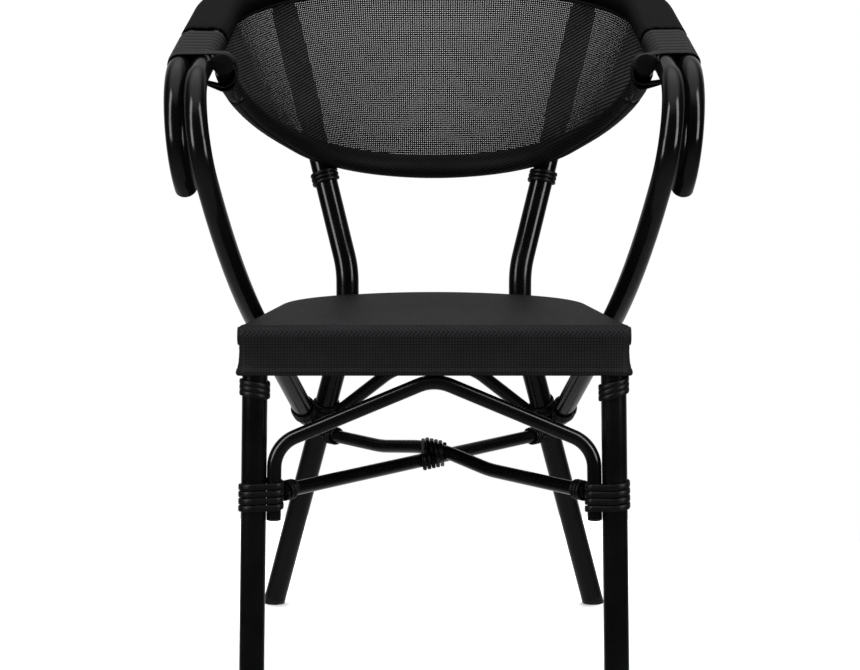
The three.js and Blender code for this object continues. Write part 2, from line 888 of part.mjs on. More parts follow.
// Rear arch: from rear leg to rear leg, ending on the leg bindings
const rearArchTop = crossbarHeight - braceDiameter - rearTabHeight - weldGap * 2;
const rearShoulder = (side) => point(side * rearArchShoulderHalfSpan, crossbarDepth, rearArchTop);
const rearArch = bentStations(
  [
    rearLegPoint(rearArchEndHeight, -1),
    rearShoulder(-1),
    rearShoulder(1),
    rearLegPoint(rearArchEndHeight, 1),
  ],
  [rearArchShoulderRadius, rearArchShoulderRadius],
  bendStepDegrees,
);
const rearArchTube = tube(rearArch, braceRadius, braceWall, braceSides);
addPart('rear_arch', cut(rearArchTube, rearCutters), frameFinish());

// Weld tab between the rear arch and the crossbar above it
const flatShare = Math.cos(halfTurn / braceSides);
const tabFoot = rearArchTop + braceRadius + weldGap;
const tabTop = crossbarHeight - braceRadius * flatShare - weldGap;
const tabBlock = new THREE.BoxGeometry(tabLength, tabThickness, tabTop - tabFoot);
tabBlock.translate(0, crossbarDepth, (tabFoot + tabTop) / 2);
addPart('rear_arch_tab', tabBlock, frameFinish());

// Stretchers: they cross in an X, the upper one notched over the lower
function stretcherEnds(side) {
  const stub = frontStub(stretcherHeight, side);
  const leg = rearLegPoint(stretcherHeight, -side);
  const run = leg.clone().sub(stub).normalize();
  const frontStart = windingRadius(braceRadius, strip) + weldGap * 2;
  const start = stub.clone().addScaledVector(run, frontStart);
  return [start, leg];
}
const lowerStretcherRun = stretcherEnds(-1);
const upperStretcherRun = stretcherEnds(1);
const lowerStretcher = tube(lowerStretcherRun, braceRadius, braceWall, braceSides);
addPart('stretcher_lower', cut(lowerStretcher, rearCutters), frameFinish());

function crossingPoint(ends) {
  const share = ends[0].x / (ends[0].x - ends[1].x);
  return ends[0].clone().lerp(ends[1], share);
}
const crossing = crossingPoint(upperStretcherRun);
const upperAxis = upperStretcherRun[1].clone().sub(upperStretcherRun[0]).normalize();
const lifted = crossing.clone().setZ(crossing.z + stretcherLift);
const upperStations = bentStations(
  [
    upperStretcherRun[0],
    crossing.clone().addScaledVector(upperAxis, -stretcherLiftRun * 2),
    lifted.clone().addScaledVector(upperAxis, -stretcherLiftRun / 2),
    lifted.clone().addScaledVector(upperAxis, stretcherLiftRun / 2),
    crossing.clone().addScaledVector(upperAxis, stretcherLiftRun * 2),
    upperStretcherRun[1],
  ],
  [stretcherBend, stretcherBend, stretcherBend, stretcherBend],
  bendStepDegrees,
);
const notch = rod(lowerStretcherRun, braceRadius + weldGap, cutterSides);
const upperStretcher = tube(upperStations, braceRadius, braceWall, braceSides);
addPart('stretcher_upper', cut(upperStretcher, [notch, ...rearCutters]), frameFinish());

// Bindings round each front leg and the arch stub beside it
for (const [word, side] of sides) {
  const direction = frontLegDirection(side);
  addWinding('front_binding_' + word, {
    ...strip,
    origin: frontLegPoint(frontBindingFoot, side),
    axis: direction,
    zeroSide: point(0, 1, 0),
    turns: frontTurns,
    circlesAt: () => [
      { x: 0, y: 0, radius: legRadius },
      { x: 0, y: side * stubAway, radius: braceRadius },
    ],
  });
  const legTopRun = legTopTurns * stripPitch;
  addWinding('leg_top_binding_' + word, {
    ...strip,
    origin: frontLegPoint(skirtFoot - legTopBindingDrop - stripWidth / 2 - legTopRun, side),
    axis: direction,
    zeroSide: point(0, 1, 0),
    turns: legTopTurns,
    circlesAt: oneTube(legRadius),
  });
  addWinding('rear_leg_binding_' + word, {
    ...strip,
    origin: rearLegPoint(rearBindingFoot, side),
    axis: rearLegDirection(side),
    zeroSide: rearLegDirection(side).cross(point(1, 0, 0)).normalize(),
    turns: rearTurns,
    circlesAt: oneTube(legRadius),
  });
}

// Collars round the stretcher ends
function collar(name, from, towards, setBack, radius) {
  const axis = towards.clone().sub(from).normalize();
  addWinding(name, {
    ...cord,
    origin: from.clone().addScaledVector(axis, setBack),
    axis,
    zeroSide: axis.clone().cross(up).normalize(),
    turns: collarTurns,
    circlesAt: oneTube(radius),
  });
}
const collarSetBack = windingRadius(braceRadius, strip) + cordWidth;
const rearCollarSetBack = rearBindingRadius + cordWidth * 2;
const stretcherRuns = [['left', lowerStretcherRun], ['right', upperStretcherRun]];
for (const [word, run] of stretcherRuns) {
  collar('stretcher_front_collar_' + word, run[0], run[1], cordWidth, braceRadius);
  collar('stretcher_rear_collar_' + word, run[1], run[0], rearCollarSetBack, braceRadius);
}

// Collars round the lower ends of the inner hoop
for (const [word, side] of sides) {
  const end = diagonalEnd(side);
  collar('arm_end_collar_' + word, end, diagonalBend(side), collarSetBack, armRadius);
}

// Bindings on the uprights, just under the back rail
function uprightPointAt(height, side) {
  const low = mirrored(waist, side);
  return low.lerp(uprightTop(side), (height - waist.z) / (uprightTop(1).z - waist.z));
}
function railHeightAtUpright() {
  for (let i = 1; i < backRail.length; i += 1) {
    const near = backRail[i - 1];
    const far = backRail[i];
    const nearAway = near.x - uprightPointAt(near.z, 1).x;
    const farAway = far.x - uprightPointAt(far.z, 1).x;
    if (nearAway <= 0 && farAway > 0) {
      return near.z + ((far.z - near.z) * nearAway) / (nearAway - farAway);
    }
  }
  return railRearHeight;
}
const railHeightThere = railHeightAtUpright();
for (const [word, side] of sides) {
  const run = collarTurns * cordPitch;
  const foot = railHeightThere - railRadius - bindingUnderRail - run;
  const axis = uprightRun(side);
  addWinding('upright_binding_' + word, {
    ...cord,
    origin: uprightPointAt(foot, side),
    axis,
    zeroSide: axis.clone().cross(point(1, 0, 0)).normalize(),
    turns: collarTurns,
    circlesAt: oneTube(legRadius),
  });
}

// Arm bands: flat strip round both hoops, the first turns also round the end of the back rail
for (const [word, side] of sides) {
  const railEnd = railStart(side);
  const railAhead = backRail[side < 0 ? 1 : backRail.length - 2].clone().sub(railEnd).normalize();
  const origin = armPoint(0, railStartReach / 2, side);
  const armRun = armPoint(0, innerHoopReach, side).sub(origin).normalize();
  const outward = point(side, 0, 0).addScaledVector(armRun, -side * armRun.x).normalize();
  const third = armRun.clone().cross(outward);
  const railStartOffset = railEnd.clone().sub(origin).dot(armRun);
  addWinding('arm_band_' + word, {
    ...band,
    origin,
    axis: armRun,
    zeroSide: outward,
    turns: bandTurns,
    circlesAt: (advance, turn) => {
      const circles = [
        { x: 0, y: 0, radius: armRadius },
        { x: hoopSpacing, y: 0, radius: armRadius },
      ];
      if (turn < railTurns) {
        for (const edge of [-bandWidth / 2, bandWidth / 2]) {
          const reach = (advance + edge - railStartOffset) / railAhead.dot(armRun);
          const at = railEnd.clone().addScaledVector(railAhead, reach).sub(origin);
          circles.push({ x: at.dot(outward), y: at.dot(third), radius: railRadius * slantShare });
        }
      }
      return circles;
    },
  });
}

// Knot where the stretchers cross
const knotSpan = knotTurns * cordPitch;
addWinding('stretcher_knot', {
  ...cord,
  origin: point(-knotSpan / 2, crossing.y, crossing.z),
  axis: point(1, 0, 0),
  zeroSide: point(0, 0, 1),
  turns: knotTurns,
  circlesAt: (advance) => {
    const away = advance - knotSpan / 2;
    const lowAxis = lowerStretcherRun[1].clone().sub(lowerStretcherRun[0]);
    const lowDepth = (away * lowAxis.y) / lowAxis.x;
    const highDepth = (away * upperAxis.y) / upperAxis.x;
    const spread = (Math.abs(upperAxis.y / upperAxis.x) * cordWidth) / 2;
    const stretch = braceRadius / Math.abs(upperAxis.x) - braceRadius + spread;
    return [
      { x: 0, y: -lowDepth - stretch, radius: braceRadius },
      { x: 0, y: -lowDepth + stretch, radius: braceRadius },
      { x: stretcherLift, y: -highDepth - stretch, radius: braceRadius },
      { x: stretcherLift, y: -highDepth + stretch, radius: braceRadius },
    ];
  },
});

// Seat sling: one sheet over the rim, with a skirt all round
function slingGeometry() {
  const holeRadius = railRadius + weldGap * 2;
  const outer = new THREE.ExtrudeGeometry(seatShape(0), { depth: skirtHeight, bevelEnabled: false });
  const inside = new THREE.ExtrudeGeometry(seatShape(seatFabric), {
    depth: skirtHeight - seatFabric + cutterOverrun,
    bevelEnabled: false,
  });
  inside.translate(0, 0, -cutterOverrun);
  outer.translate(0, 0, skirtFoot);
  inside.translate(0, 0, skirtFoot);
  const railHoles = sides.map(([, side]) => {
    const from = point(side * (seatFrontHalfWidth - seatCornerRadius), frontRailDepth, frontRailHeight);
    return rod([from, point(side * seatFrontHalfWidth * 2, from.y, from.z)], holeRadius, cutterSides);
  });
  return cut(outer, [inside, ...railHoles]);
}
addPart('seat_sling', slingGeometry(), fabricFinish());

// Back panel: stretched from the back rail to the inner hoop
const sleeveRadius = armRadius + weldGap * 3 + sleeveThickness;
function resample(stations, count) {
  const route = new THREE.CurvePath();
  for (let i = 1; i < stations.length; i += 1) {
    route.add(new THREE.LineCurve3(stations[i - 1], stations[i]));
  }
  const points = [];
  for (let i = 0; i <= count; i += 1) {
    const share = panelStartShare + ((1 - 2 * panelStartShare) * i) / count;
    points.push(route.getPointAt(share));
  }
  return points;
}

function hoopBackStations() {
  const start = railStartReach;
  const corners = [
    armPoint(0, start, -1),
    hoopCorner(0, -1),
    hoopCorner(0, 1),
    armPoint(0, start, 1),
  ];
  return bentStations(corners, [innerHoopBend, innerHoopBend], hoopStepDegrees);
}

function sheetGeometry(rows) {
  const columns = rows[0].length;
  const positions = [];
  const index = [];
  const normalAt = (r, c) => {
    const up1 = rows[Math.min(r + 1, rows.length - 1)][c];
    const down = rows[Math.max(r - 1, 0)][c];
    const after = rows[r][Math.min(c + 1, columns - 1)];
    const before = rows[r][Math.max(c - 1, 0)];
    return after.clone().sub(before).cross(up1.clone().sub(down)).normalize();
  };
  for (const way of [1, -1]) {
    for (let r = 0; r < rows.length; r += 1) {
      for (let c = 0; c < columns; c += 1) {
        const p = rows[r][c].clone().addScaledVector(normalAt(r, c), (way * panelThickness) / 2);
        positions.push(p.x, p.y, p.z);
      }
    }
  }
  const offset = rows.length * columns;
  const at = (r, c, layer) => layer * offset + r * columns + c;
  const quad = (a, b, c, d) => index.push(a, b, c, a, c, d);
  for (let r = 0; r < rows.length - 1; r += 1) {
    for (let c = 0; c < columns - 1; c += 1) {
      quad(at(r, c, 0), at(r, c + 1, 0), at(r + 1, c + 1, 0), at(r + 1, c, 0));
      quad(at(r, c, 1), at(r + 1, c, 1), at(r + 1, c + 1, 1), at(r, c + 1, 1));
    }
  }
  const top = rows.length - 1;
  for (let c = 0; c < columns - 1; c += 1) {
    quad(at(0, c, 0), at(0, c, 1), at(0, c + 1, 1), at(0, c + 1, 0));
    quad(at(top, c, 0), at(top, c + 1, 0), at(top, c + 1, 1), at(top, c, 1));
  }
  const end = columns - 1;
  for (let r = 0; r < rows.length - 1; r += 1) {
    quad(at(r, 0, 0), at(r + 1, 0, 0), at(r + 1, 0, 1), at(r, 0, 1));
    quad(at(r, end, 0), at(r, end, 1), at(r + 1, end, 1), at(r + 1, end, 0));
  }
  const geometry = new THREE.BufferGeometry();
  geometry.setAttribute('position', new THREE.Float32BufferAttribute(positions, 3));
  geometry.setIndex(index);
  geometry.computeVertexNormals();
  return geometry;
}

function backPanelGeometry() {
  const low = resample(backRail, panelStations);
  const high = resample(hoopBackStations(), panelStations);
  const rows = [];
  for (let r = 0; r <= panelRows; r += 1) {
    rows.push(low.map((p, i) => p.clone().lerp(high[i], r / panelRows)));
  }
  const railCutter = rod(backRail, railRadius + weldGap, braceSides);
  const hoopCutter = rod(innerHoop, armRadius + weldGap, armSides);
  const outline = new THREE.Shape(stadiumPoints(sleeveRadius + weldGap, hoopSpacing / 2, sleeveSides));
  const sleeveCutter = along(outline, sleeveStations(cutterOverrun), hoopNormal);
  return cut(sheetGeometry(rows), [railCutter, hoopCutter, sleeveCutter]);
}
addPart('back_panel', backPanelGeometry(), fabricFinish());

// Sleeve over both hoops, from band to band, with a slit for each upright
function stadiumPoints(radius, halfRun, count) {
  const points = [];
  for (let i = 0; i < count; i += 1) {
    const angle = -halfTurn / 2 + (halfTurn * i) / (count - 1);
    points.push(new THREE.Vector2(halfRun + radius * Math.cos(angle), radius * Math.sin(angle)));
  }
  for (let i = 0; i < count; i += 1) {
    const angle = halfTurn / 2 + (halfTurn * i) / (count - 1);
    points.push(new THREE.Vector2(-halfRun + radius * Math.cos(angle), radius * Math.sin(angle)));
  }
  return points;
}

function sleeveStations(overrun) {
  const half = hoopSpacing / 2;
  const start = railStartReach / 2 + (bandTurns + 1) * bandPitch - overrun;
  const corners = [
    armPoint(half, start, -1),
    hoopCorner(half, -1),
    hoopCorner(half, 1),
    armPoint(half, start, 1),
  ];
  const bend = innerHoopBend + half;
  return bentStations(corners, [bend, bend], hoopStepDegrees);
}

function sleeveGeometry() {
  const half = hoopSpacing / 2;
  const shape = new THREE.Shape(stadiumPoints(sleeveRadius, half, sleeveSides));
  const bore = stadiumPoints(sleeveRadius - sleeveThickness, half, sleeveSides);
  shape.holes.push(new THREE.Path(bore.reverse()));
  const sleeve = along(shape, sleeveStations(0), hoopNormal);
  return cut(sleeve, uprightCutters);
}
addPart('top_sleeve', sleeveGeometry(), fabricFinish());

// Pockets of the back panel round the uprights
for (const [word, side] of sides) {
  const stations = [
    uprightPointAt(railHeightThere + railRadius + pocketBottomRise, side),
    uprightPointAt(uprightTop(1).z - pocketTopDrop, side),
  ];
  const bore = (legRadius + weldGap) / Math.cos(halfTurn / legSides);
  const outside = bore + pocketThickness;
  addPart('upright_pocket_' + word, tube(stations, outside, pocketThickness, legSides * 2), fabricFinish());
}

// Caps in the scroll ends, plugs in the arch stubs and in the seat front rail
function endPlug(name, stations, radius, thickness) {
  const end = stations[0];
  const away = end.clone().sub(stations[1]).normalize();
  const near = end.clone().addScaledVector(away, weldGap);
  const far = near.clone().addScaledVector(away, thickness);
  addPart(name, rod([near, far], radius, armSides), plasticFinish());
}
endPlug('scroll_cap_left', outerHoop, armRadius, capThickness);
endPlug('scroll_cap_right', [...outerHoop].reverse(), armRadius, capThickness);
endPlug('arch_plug_left', frontArch, braceRadius, plugThickness);
endPlug('arch_plug_right', [...frontArch].reverse(), braceRadius, plugThickness);
for (const [word, side] of sides) {
  const outerEnd = point(side * frontRailHalf, frontRailDepth, frontRailHeight);
  const innerEnd = point(0, frontRailDepth, frontRailHeight);
  endPlug('seat_rail_plug_' + word, [outerEnd, innerEnd], railRadius, plugThickness);
}

for (const { name, gap } of windings) {
  const verdict = gap > leastSelfGap ? 'clear' : 'too close';
  console.log(name + ': least gap to itself ' + gap.toFixed(2) + ' mm, ' + verdict);
}

// Stand the chair with the middle of its box over the origin
chair.updateMatrixWorld(true);
const box = new THREE.Box3().setFromObject(chair);
chair.position.y = -(box.min.y + box.max.y) / 2;

export default chair;
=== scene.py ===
# %% [markdown]
# # A black stacking bistro armchair, dressed in Blender
# The chair is a welded frame of bent tube with a powder coat, a seat and a back of woven mesh,
# and bindings of plastic wicker at the joints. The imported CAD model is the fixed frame: each
# piece below stands where the CAD node that it replaces stands. All sizes are in millimetres,
# as x to the right, depth back from the front legs, and height, and one matrix brings them to
# the frame's metres at the end of each piece.

# %% Load the frame
import bpy, bmesh, json
from bisect import bisect_left
from math import atan2, ceil, cos, exp, floor, hypot, pi, radians, sin, sqrt, tan
from mathutils import Matrix, Vector


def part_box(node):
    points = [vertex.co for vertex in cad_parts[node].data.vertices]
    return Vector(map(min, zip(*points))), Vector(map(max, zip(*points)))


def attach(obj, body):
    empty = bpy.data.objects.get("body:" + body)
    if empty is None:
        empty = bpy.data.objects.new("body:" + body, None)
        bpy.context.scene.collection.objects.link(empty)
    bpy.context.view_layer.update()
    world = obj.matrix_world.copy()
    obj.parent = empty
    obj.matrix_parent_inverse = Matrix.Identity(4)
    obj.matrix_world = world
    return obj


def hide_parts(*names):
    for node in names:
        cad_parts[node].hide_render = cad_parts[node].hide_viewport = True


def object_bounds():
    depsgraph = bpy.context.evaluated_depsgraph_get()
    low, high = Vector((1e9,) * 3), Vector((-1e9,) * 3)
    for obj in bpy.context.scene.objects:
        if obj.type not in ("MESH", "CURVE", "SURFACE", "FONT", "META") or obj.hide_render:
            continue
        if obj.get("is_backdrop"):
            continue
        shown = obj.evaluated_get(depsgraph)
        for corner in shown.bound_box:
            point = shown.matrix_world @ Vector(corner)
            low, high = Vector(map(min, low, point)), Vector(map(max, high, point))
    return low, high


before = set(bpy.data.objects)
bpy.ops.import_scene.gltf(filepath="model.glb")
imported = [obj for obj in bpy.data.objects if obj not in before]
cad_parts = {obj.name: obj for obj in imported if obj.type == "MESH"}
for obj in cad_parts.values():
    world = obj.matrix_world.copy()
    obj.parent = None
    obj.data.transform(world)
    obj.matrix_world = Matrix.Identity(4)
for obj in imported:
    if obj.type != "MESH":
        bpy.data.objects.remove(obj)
cad_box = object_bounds()
low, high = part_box("front_leg_left")
leg_axis_y = (low.y + high.y) / 2
to_row = Matrix.Translation((0, leg_axis_y, 0)) @ Matrix.Scale(0.001, 4)
print("front leg axis at y", round(leg_axis_y, 5), "CAD box", cad_box)

# %% [markdown]
# ## Camera
# The photograph was taken with a long lens from just above the arms. Lens, place and pitch were
# fitted to the edges of the legs, the arms and the seat, so the render lies over the photograph.
# The camera is pitched down, and its lens isn't shifted, so other views can turn it freely.

# %% Camera
camera_distance, camera_height, camera_tilt = 2.7483, 0.7256, 6.304
lens_data = bpy.data.cameras.new("studio_camera")
lens_data.lens = 105.97
lens_data.sensor_width = 36
camera = bpy.data.objects.new("studio_camera", lens_data)
camera.location = (-0.00467, leg_axis_y - camera_distance, camera_height)
camera.rotation_euler = (radians(90 - camera_tilt), 0, 0)
bpy.context.scene.collection.objects.link(camera)
bpy.context.scene.camera = camera
bpy.context.scene.view_settings.view_transform = "Standard"
print("camera", tuple(round(v, 4) for v in camera.location))

# %% [markdown]
# ## Helpers for finishes
# Colours are picked as sRGB hex values, as they are seen in the photograph, and the shader wants
# them linear. One function adds a node with its settings and links, and three more join what
# every finish here has: a noise of a real size, a ramp between two tones and a bump.

# %% Colour and node helpers
def linear(code):
    channels = [int(code[i:i + 2], 16) / 255 for i in (0, 2, 4)]
    return [c / 12.92 if c <= 0.04045 else ((c + 0.055) / 1.055) ** 2.4 for c in channels] + [1]


def add(tree, kind, settings=None, inputs=None):
    node = tree.nodes.new(kind)
    for key, value in (settings or {}).items():
        setattr(node, key, value)
    for key, value in (inputs or {}).items():
        if isinstance(value, bpy.types.NodeSocket):
            tree.links.new(value, node.inputs[key])
        else:
            node.inputs[key].default_value = value
    return node


def finish_named(name, roughness, specular):
    """A new material, its node tree and its shader, with the values that are the same all over."""
    material = bpy.data.materials.new(name)
    material.use_nodes = True
    tree = material.node_tree
    shader = tree.nodes["Principled BSDF"]
    shader.inputs["Roughness"].default_value = roughness
    shader.inputs["Specular IOR Level"].default_value = specular
    return material, tree, shader


def object_place(tree):
    return add(tree, "ShaderNodeTexCoord").outputs["Object"]


def noise(tree, place, apart, detail):
    """Noise whose hills lie about the given number of millimetres apart."""
    inputs = {"Vector": place, "Scale": 1000 / apart, "Detail": detail}
    return add(tree, "ShaderNodeTexNoise", inputs=inputs).outputs["Fac"]


def paint(tree, shader, factor, dark, light, start=0.3, end=0.7):
    """Joins a ramp from a dark to a light tone of one colour to the shader."""
    ramp = add(tree, "ShaderNodeValToRGB", inputs={"Fac": factor})
    for element, position, code in zip(ramp.color_ramp.elements, (start, end), (dark, light)):
        element.position = position
        element.color = linear(code)
    tree.links.new(ramp.outputs["Color"], shader.inputs["Base Color"])


def emboss(tree, shader, height, strength, depth):
    """Joins a height to the shader as a bump, with its depth in millimetres."""
    bump = add(tree, "ShaderNodeBump", inputs={
        "Strength": strength, "Distance": depth / 1000, "Height": height})
    tree.links.new(bump.outputs["Normal"], shader.inputs["Normal"])


def calc(tree, operation, first, second=0.0):
    return add(tree, "ShaderNodeMath", {"operation": operation}, {0: first, 1: second}).outputs[0]


print("the grey 808080 is", round(linear("808080")[0], 3), "in linear light")

# %% [markdown]
# ## Gloss black powder coat
# The tubes are welded, then sprayed with polyester powder and baked. The powder flows out to a
# deep black skin with a faint orange peel, whose hills are about 2.5 mm apart, and it is a little
# duller in broad patches. It reflects lights as long thin lines. Noise on Object coordinates
# gives both the peel, as a bump, and the patches, in the roughness.

# %% Powder coat
def powder_coat():
    material, tree, shader = finish_named("gloss_black_powder_coat", 0.2, 0.12)
    place = object_place(tree)
    patches = noise(tree, place, 45, 3.0)
    dulled = add(tree, "ShaderNodeMapRange", inputs={
        "Value": patches, "From Min": 0.3, "From Max": 0.7, "To Min": 0.12, "To Max": 0.19})
    tree.links.new(dulled.outputs["Result"], shader.inputs["Roughness"])
    paint(tree, shader, patches, "060607", "0a0a0b")
    emboss(tree, shader, noise(tree, place, 2.5, 1.0), 0.05, 0.2)
    return material


powder = powder_coat()
print("finish", powder.name)

# %% [markdown]
# ## Where the tubes run
# The chair is drawn as a bender would draw it: corners, and a bend radius at each. The front legs
# lean out a little, the rear legs splay to the floor and rise as the uprights, and two hoops lie
# side by side in one sloping plane, over the arms and round the top of the back.

# %% Legs and uprights
leg_radius, arm_radius, rail_radius, brace_radius = 14.0, 12.5, 10.0, 8.0
weld_gap = 0.3
seat_height, skirt_foot = 434.0, 379.0
stub_foot, stub_shoulder, stretcher_height = 219.2, 300.2, 247.2
rear_arch_height, diagonal_height, brace_top = 256.2, 272.2, 370.7
foot_spread, leg_half_span = 7.0, 196.18
sides = (("left", -1), ("right", 1))


def front_leg(height, side):
    """A point on the axis of a front leg, which leans out towards the floor."""
    spread = foot_spread * (skirt_foot - height) / skirt_foot
    return Vector((side * (leg_half_span + spread), 0, height))


def to_side(place, side):
    return Vector((place.x * side, place.y, place.z))


rear_foot, knee, waist = Vector((213, 570, 0)), Vector((107, 379.41, 397)), Vector((107, 379.41, 463))


def rear_leg(height, side):
    """A point on the axis of a rear leg, between its foot and its knee."""
    return to_side(rear_foot.lerp(knee, height / knee.z), side)


front_heading = {side: (front_leg(400, side) - front_leg(0, side)).normalized() for _, side in sides}
rear_heading = {side: (rear_leg(knee.z, side) - rear_leg(0, side)).normalized() for _, side in sides}
print("front leg leans", round(front_heading[1].x * 1000, 1), "mm a metre")

# %% The plane of the two hoops
arm_slope, scroll_turn = radians(14.9), radians(124.5)
hoop_run = Vector((0, cos(arm_slope), sin(arm_slope)))
hoop_normal = Vector((0, -sin(arm_slope), cos(arm_slope)))
arm_half, hoop_spacing, hoop_bend, scroll_bend = 239.0, 25.6, 198.0, 75.0
hoop_reach = 409 / cos(arm_slope)
scroll_run = scroll_bend * tan(scroll_turn / 2)
splay = 25 / (hoop_reach + scroll_run)
secant = sqrt(1 + splay ** 2)


def on_hoop_plane(x, reach):
    return Vector((x, 78, 712.4)) + hoop_run * reach


def arm_place(outside, reach, side):
    """A point on the straight arm line of a hoop. The arms splay out towards the scrolls."""
    return on_hoop_plane(side * (arm_half + outside * secant + splay * (hoop_reach - reach)), reach)


def hoop_corner(outside, side):
    return arm_place(outside, hoop_reach + outside, side)


def hoop_arc(outside, angle, side):
    x = arm_half + hoop_bend * (splay - secant) + (hoop_bend + outside) * cos(angle)
    return on_hoop_plane(side * x, hoop_reach - hoop_bend + (hoop_bend + outside) * sin(angle))


def scroll_corner(outside, side):
    return arm_place(outside, -scroll_run, side)


def scroll_end(outside, side):
    run = Vector((0, -cos(arm_slope + scroll_turn), -sin(arm_slope + scroll_turn)))
    end = scroll_corner(outside, side) + run * (scroll_run + arm_radius / 4)
    return end - Vector((side * 15, 0, 0))


def diagonal_bend(side):
    return Vector((side * (arm_half - 13.5), 80, seat_height + 44))


def diagonal_end(side):
    return rear_leg(diagonal_height, side) + Vector((side * 19, -19, 0))


upright_top = hoop_arc(hoop_spacing * 0.95, radians(49), 1)
upright_run = (upright_top - waist).normalized()
upright_heading = {side: to_side(upright_run, side) for _, side in sides}
print("uprights end at", [round(v, 1) for v in upright_top])

# %% [markdown]
# ## The tube bender
# A tube starts as one circle of edges. Each straight run is that rim extruded and moved, and each
# bend is that rim spun about the centre of the bend, as the real tube is drawn round a former.
# The spin keeps the section round and the wall smooth, which a path of short pieces doesn't. The
# same bends, as points, guide what follows a tube: the sleeve, the hems and the back mesh.

# %% Rims and bends
def rim_of(vertices):
    inside = set(vertices)
    return list({e for v in inside for e in v.link_edges if e.other_vert(v) in inside})


def ends_of(rim):
    return list({v for e in rim for v in e.verts})


def push(bm, rim, step):
    grown = bmesh.ops.extrude_edge_only(bm, edges=rim)["geom"]
    vertices = [v for v in grown if isinstance(v, bmesh.types.BMVert)]
    bmesh.ops.translate(bm, vec=step, verts=vertices)
    return rim_of(vertices)


def bend_at(corners, bends, i):
    """Where the bend at a corner starts, its centre, axis and turn, and where it ends."""
    back = (corners[i - 1] - corners[i]).normalized()
    ahead = (corners[i + 1] - corners[i]).normalized()
    turn = pi - back.angle(ahead)
    reach = bends[i - 1] * tan(turn / 2)
    start, end = corners[i] + back * reach, corners[i] + ahead * reach
    centre = corners[i] + (back + ahead).normalized() * bends[i - 1] / cos(turn / 2)
    axis = (start - centre).cross(-back).normalized()
    return start, centre, axis, turn, end


def bend_steps(turn):
    """One step for every three degrees."""
    return max(2, ceil(turn / radians(3)))


def bend_along(bm, rim, corners, bends):
    """Takes a rim from the first corner to the last, round every bend between."""
    place = corners[0]
    for i in range(1, len(corners) - 1):
        start, centre, axis, turn, end = bend_at(corners, bends, i)
        if (start - place).length > 0.01:
            rim = push(bm, rim, start - place)
        spun = bmesh.ops.spin(bm, geom=rim, cent=centre, axis=axis, dvec=(0, 0, 0), angle=turn,
                              steps=bend_steps(turn), use_merge=False)
        rim = rim_of([v for v in spun["geom_last"] if isinstance(v, bmesh.types.BMVert)])
        place = end
    return push(bm, rim, corners[-1] - place)


def bend_points(corners, bends):
    """The way of a bent tube as close points, for what follows it."""
    points = [corners[0]]
    for i in range(1, len(corners) - 1):
        start, centre, axis, turn, end = bend_at(corners, bends, i)
        steps = bend_steps(turn)
        points += [centre + Matrix.Rotation(turn * k / steps, 3, axis) @ (start - centre)
                   for k in range(steps + 1)]
    return points + [corners[-1]]


print("a right angle is bent in", bend_steps(pi / 2), "steps")

# %% Bent tubes
def close_ends(bm):
    bmesh.ops.holes_fill(bm, edges=[e for e in bm.edges if e.is_boundary])


def standing(place, heading):
    """The matrix that puts the origin at a place, with the upright axis along a heading."""
    return Matrix.Translation(place) @ heading.to_track_quat("Z", "Y").to_matrix().to_4x4()


def start_rim(bm, place, heading, radius, count):
    bmesh.ops.create_circle(bm, segments=count, radius=radius, matrix=standing(place, heading))
    return bm.edges[:]


def bent_tube(corners, bends, radius, count=32):
    bm = bmesh.new()
    rim = start_rim(bm, corners[0], (corners[1] - corners[0]).normalized(), radius, count)
    bend_along(bm, rim, corners, bends)
    close_ends(bm)
    return bm


# %% Putting a piece in its place
def place_piece(name, bm, material, replaced=(), sharp=40):
    """Brings a mesh to the frame's metres, turns its faces outwards and joins it to the chair."""
    bmesh.ops.transform(bm, matrix=to_row, verts=bm.verts)
    bmesh.ops.recalc_face_normals(bm, faces=bm.faces)
    for face in bm.faces:
        face.smooth = True
    mesh = bpy.data.meshes.new(name)
    bm.to_mesh(mesh)
    bm.free()
    if sharp:
        mesh.set_sharp_from_angle(angle=radians(sharp))
    mesh.materials.append(material)
    piece = bpy.data.objects.new(name, mesh)
    bpy.context.scene.collection.objects.link(piece)
    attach(piece, "root")
    if replaced:
        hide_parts(*replaced)
    return piece


def place_tube(name, corners, bends, radius, replaced, count=28):
    tube = bent_tube(corners, bends, radius, count)
    return place_piece(name, tube, powder, [replaced])


def round_edges(bm, edges, offset, segments=2):
    bmesh.ops.bevel(bm, geom=edges, offset=offset, offset_type="OFFSET", segments=segments, profile=0.5,
                    affect="EDGES", material=-1)


# %% [markdown]
# ## Front legs, rear legs and the two hoops
# The front legs are straight. Each rear leg is one tube with the upright: it comes up from the
# floor, straightens beside the seat and leans back to the hoops. The inner hoop runs from one
# rear leg over both arms to the other rear leg, and the outer one ends free under each scroll.

# %% Legs and hoops as tubes
glide_rise, front_leg_top, knee_bend = 6.0, 411.2, 100.0


def glide_seam(heading):
    """How far up a leaning leg its glide ends."""
    return (glide_rise + leg_radius * sqrt(1 - heading.z ** 2)) / heading.z


for word, side in sides:
    foot = front_leg(0, side) + front_heading[side] * glide_seam(front_heading[side])
    place_tube("front_leg_tube_" + word, [foot, front_leg(front_leg_top, side)], [], leg_radius,
               "front_leg_" + word, 32)
    foot = rear_leg(0, side) + rear_heading[side] * glide_seam(rear_heading[side])
    top = to_side(upright_top, side) - upright_heading[side] * leg_radius
    corners = [foot, to_side(knee, side), to_side(waist, side), top]
    place_tube("rear_leg_tube_" + word, corners, [knee_bend, knee_bend], leg_radius, "rear_leg_" + word, 32)

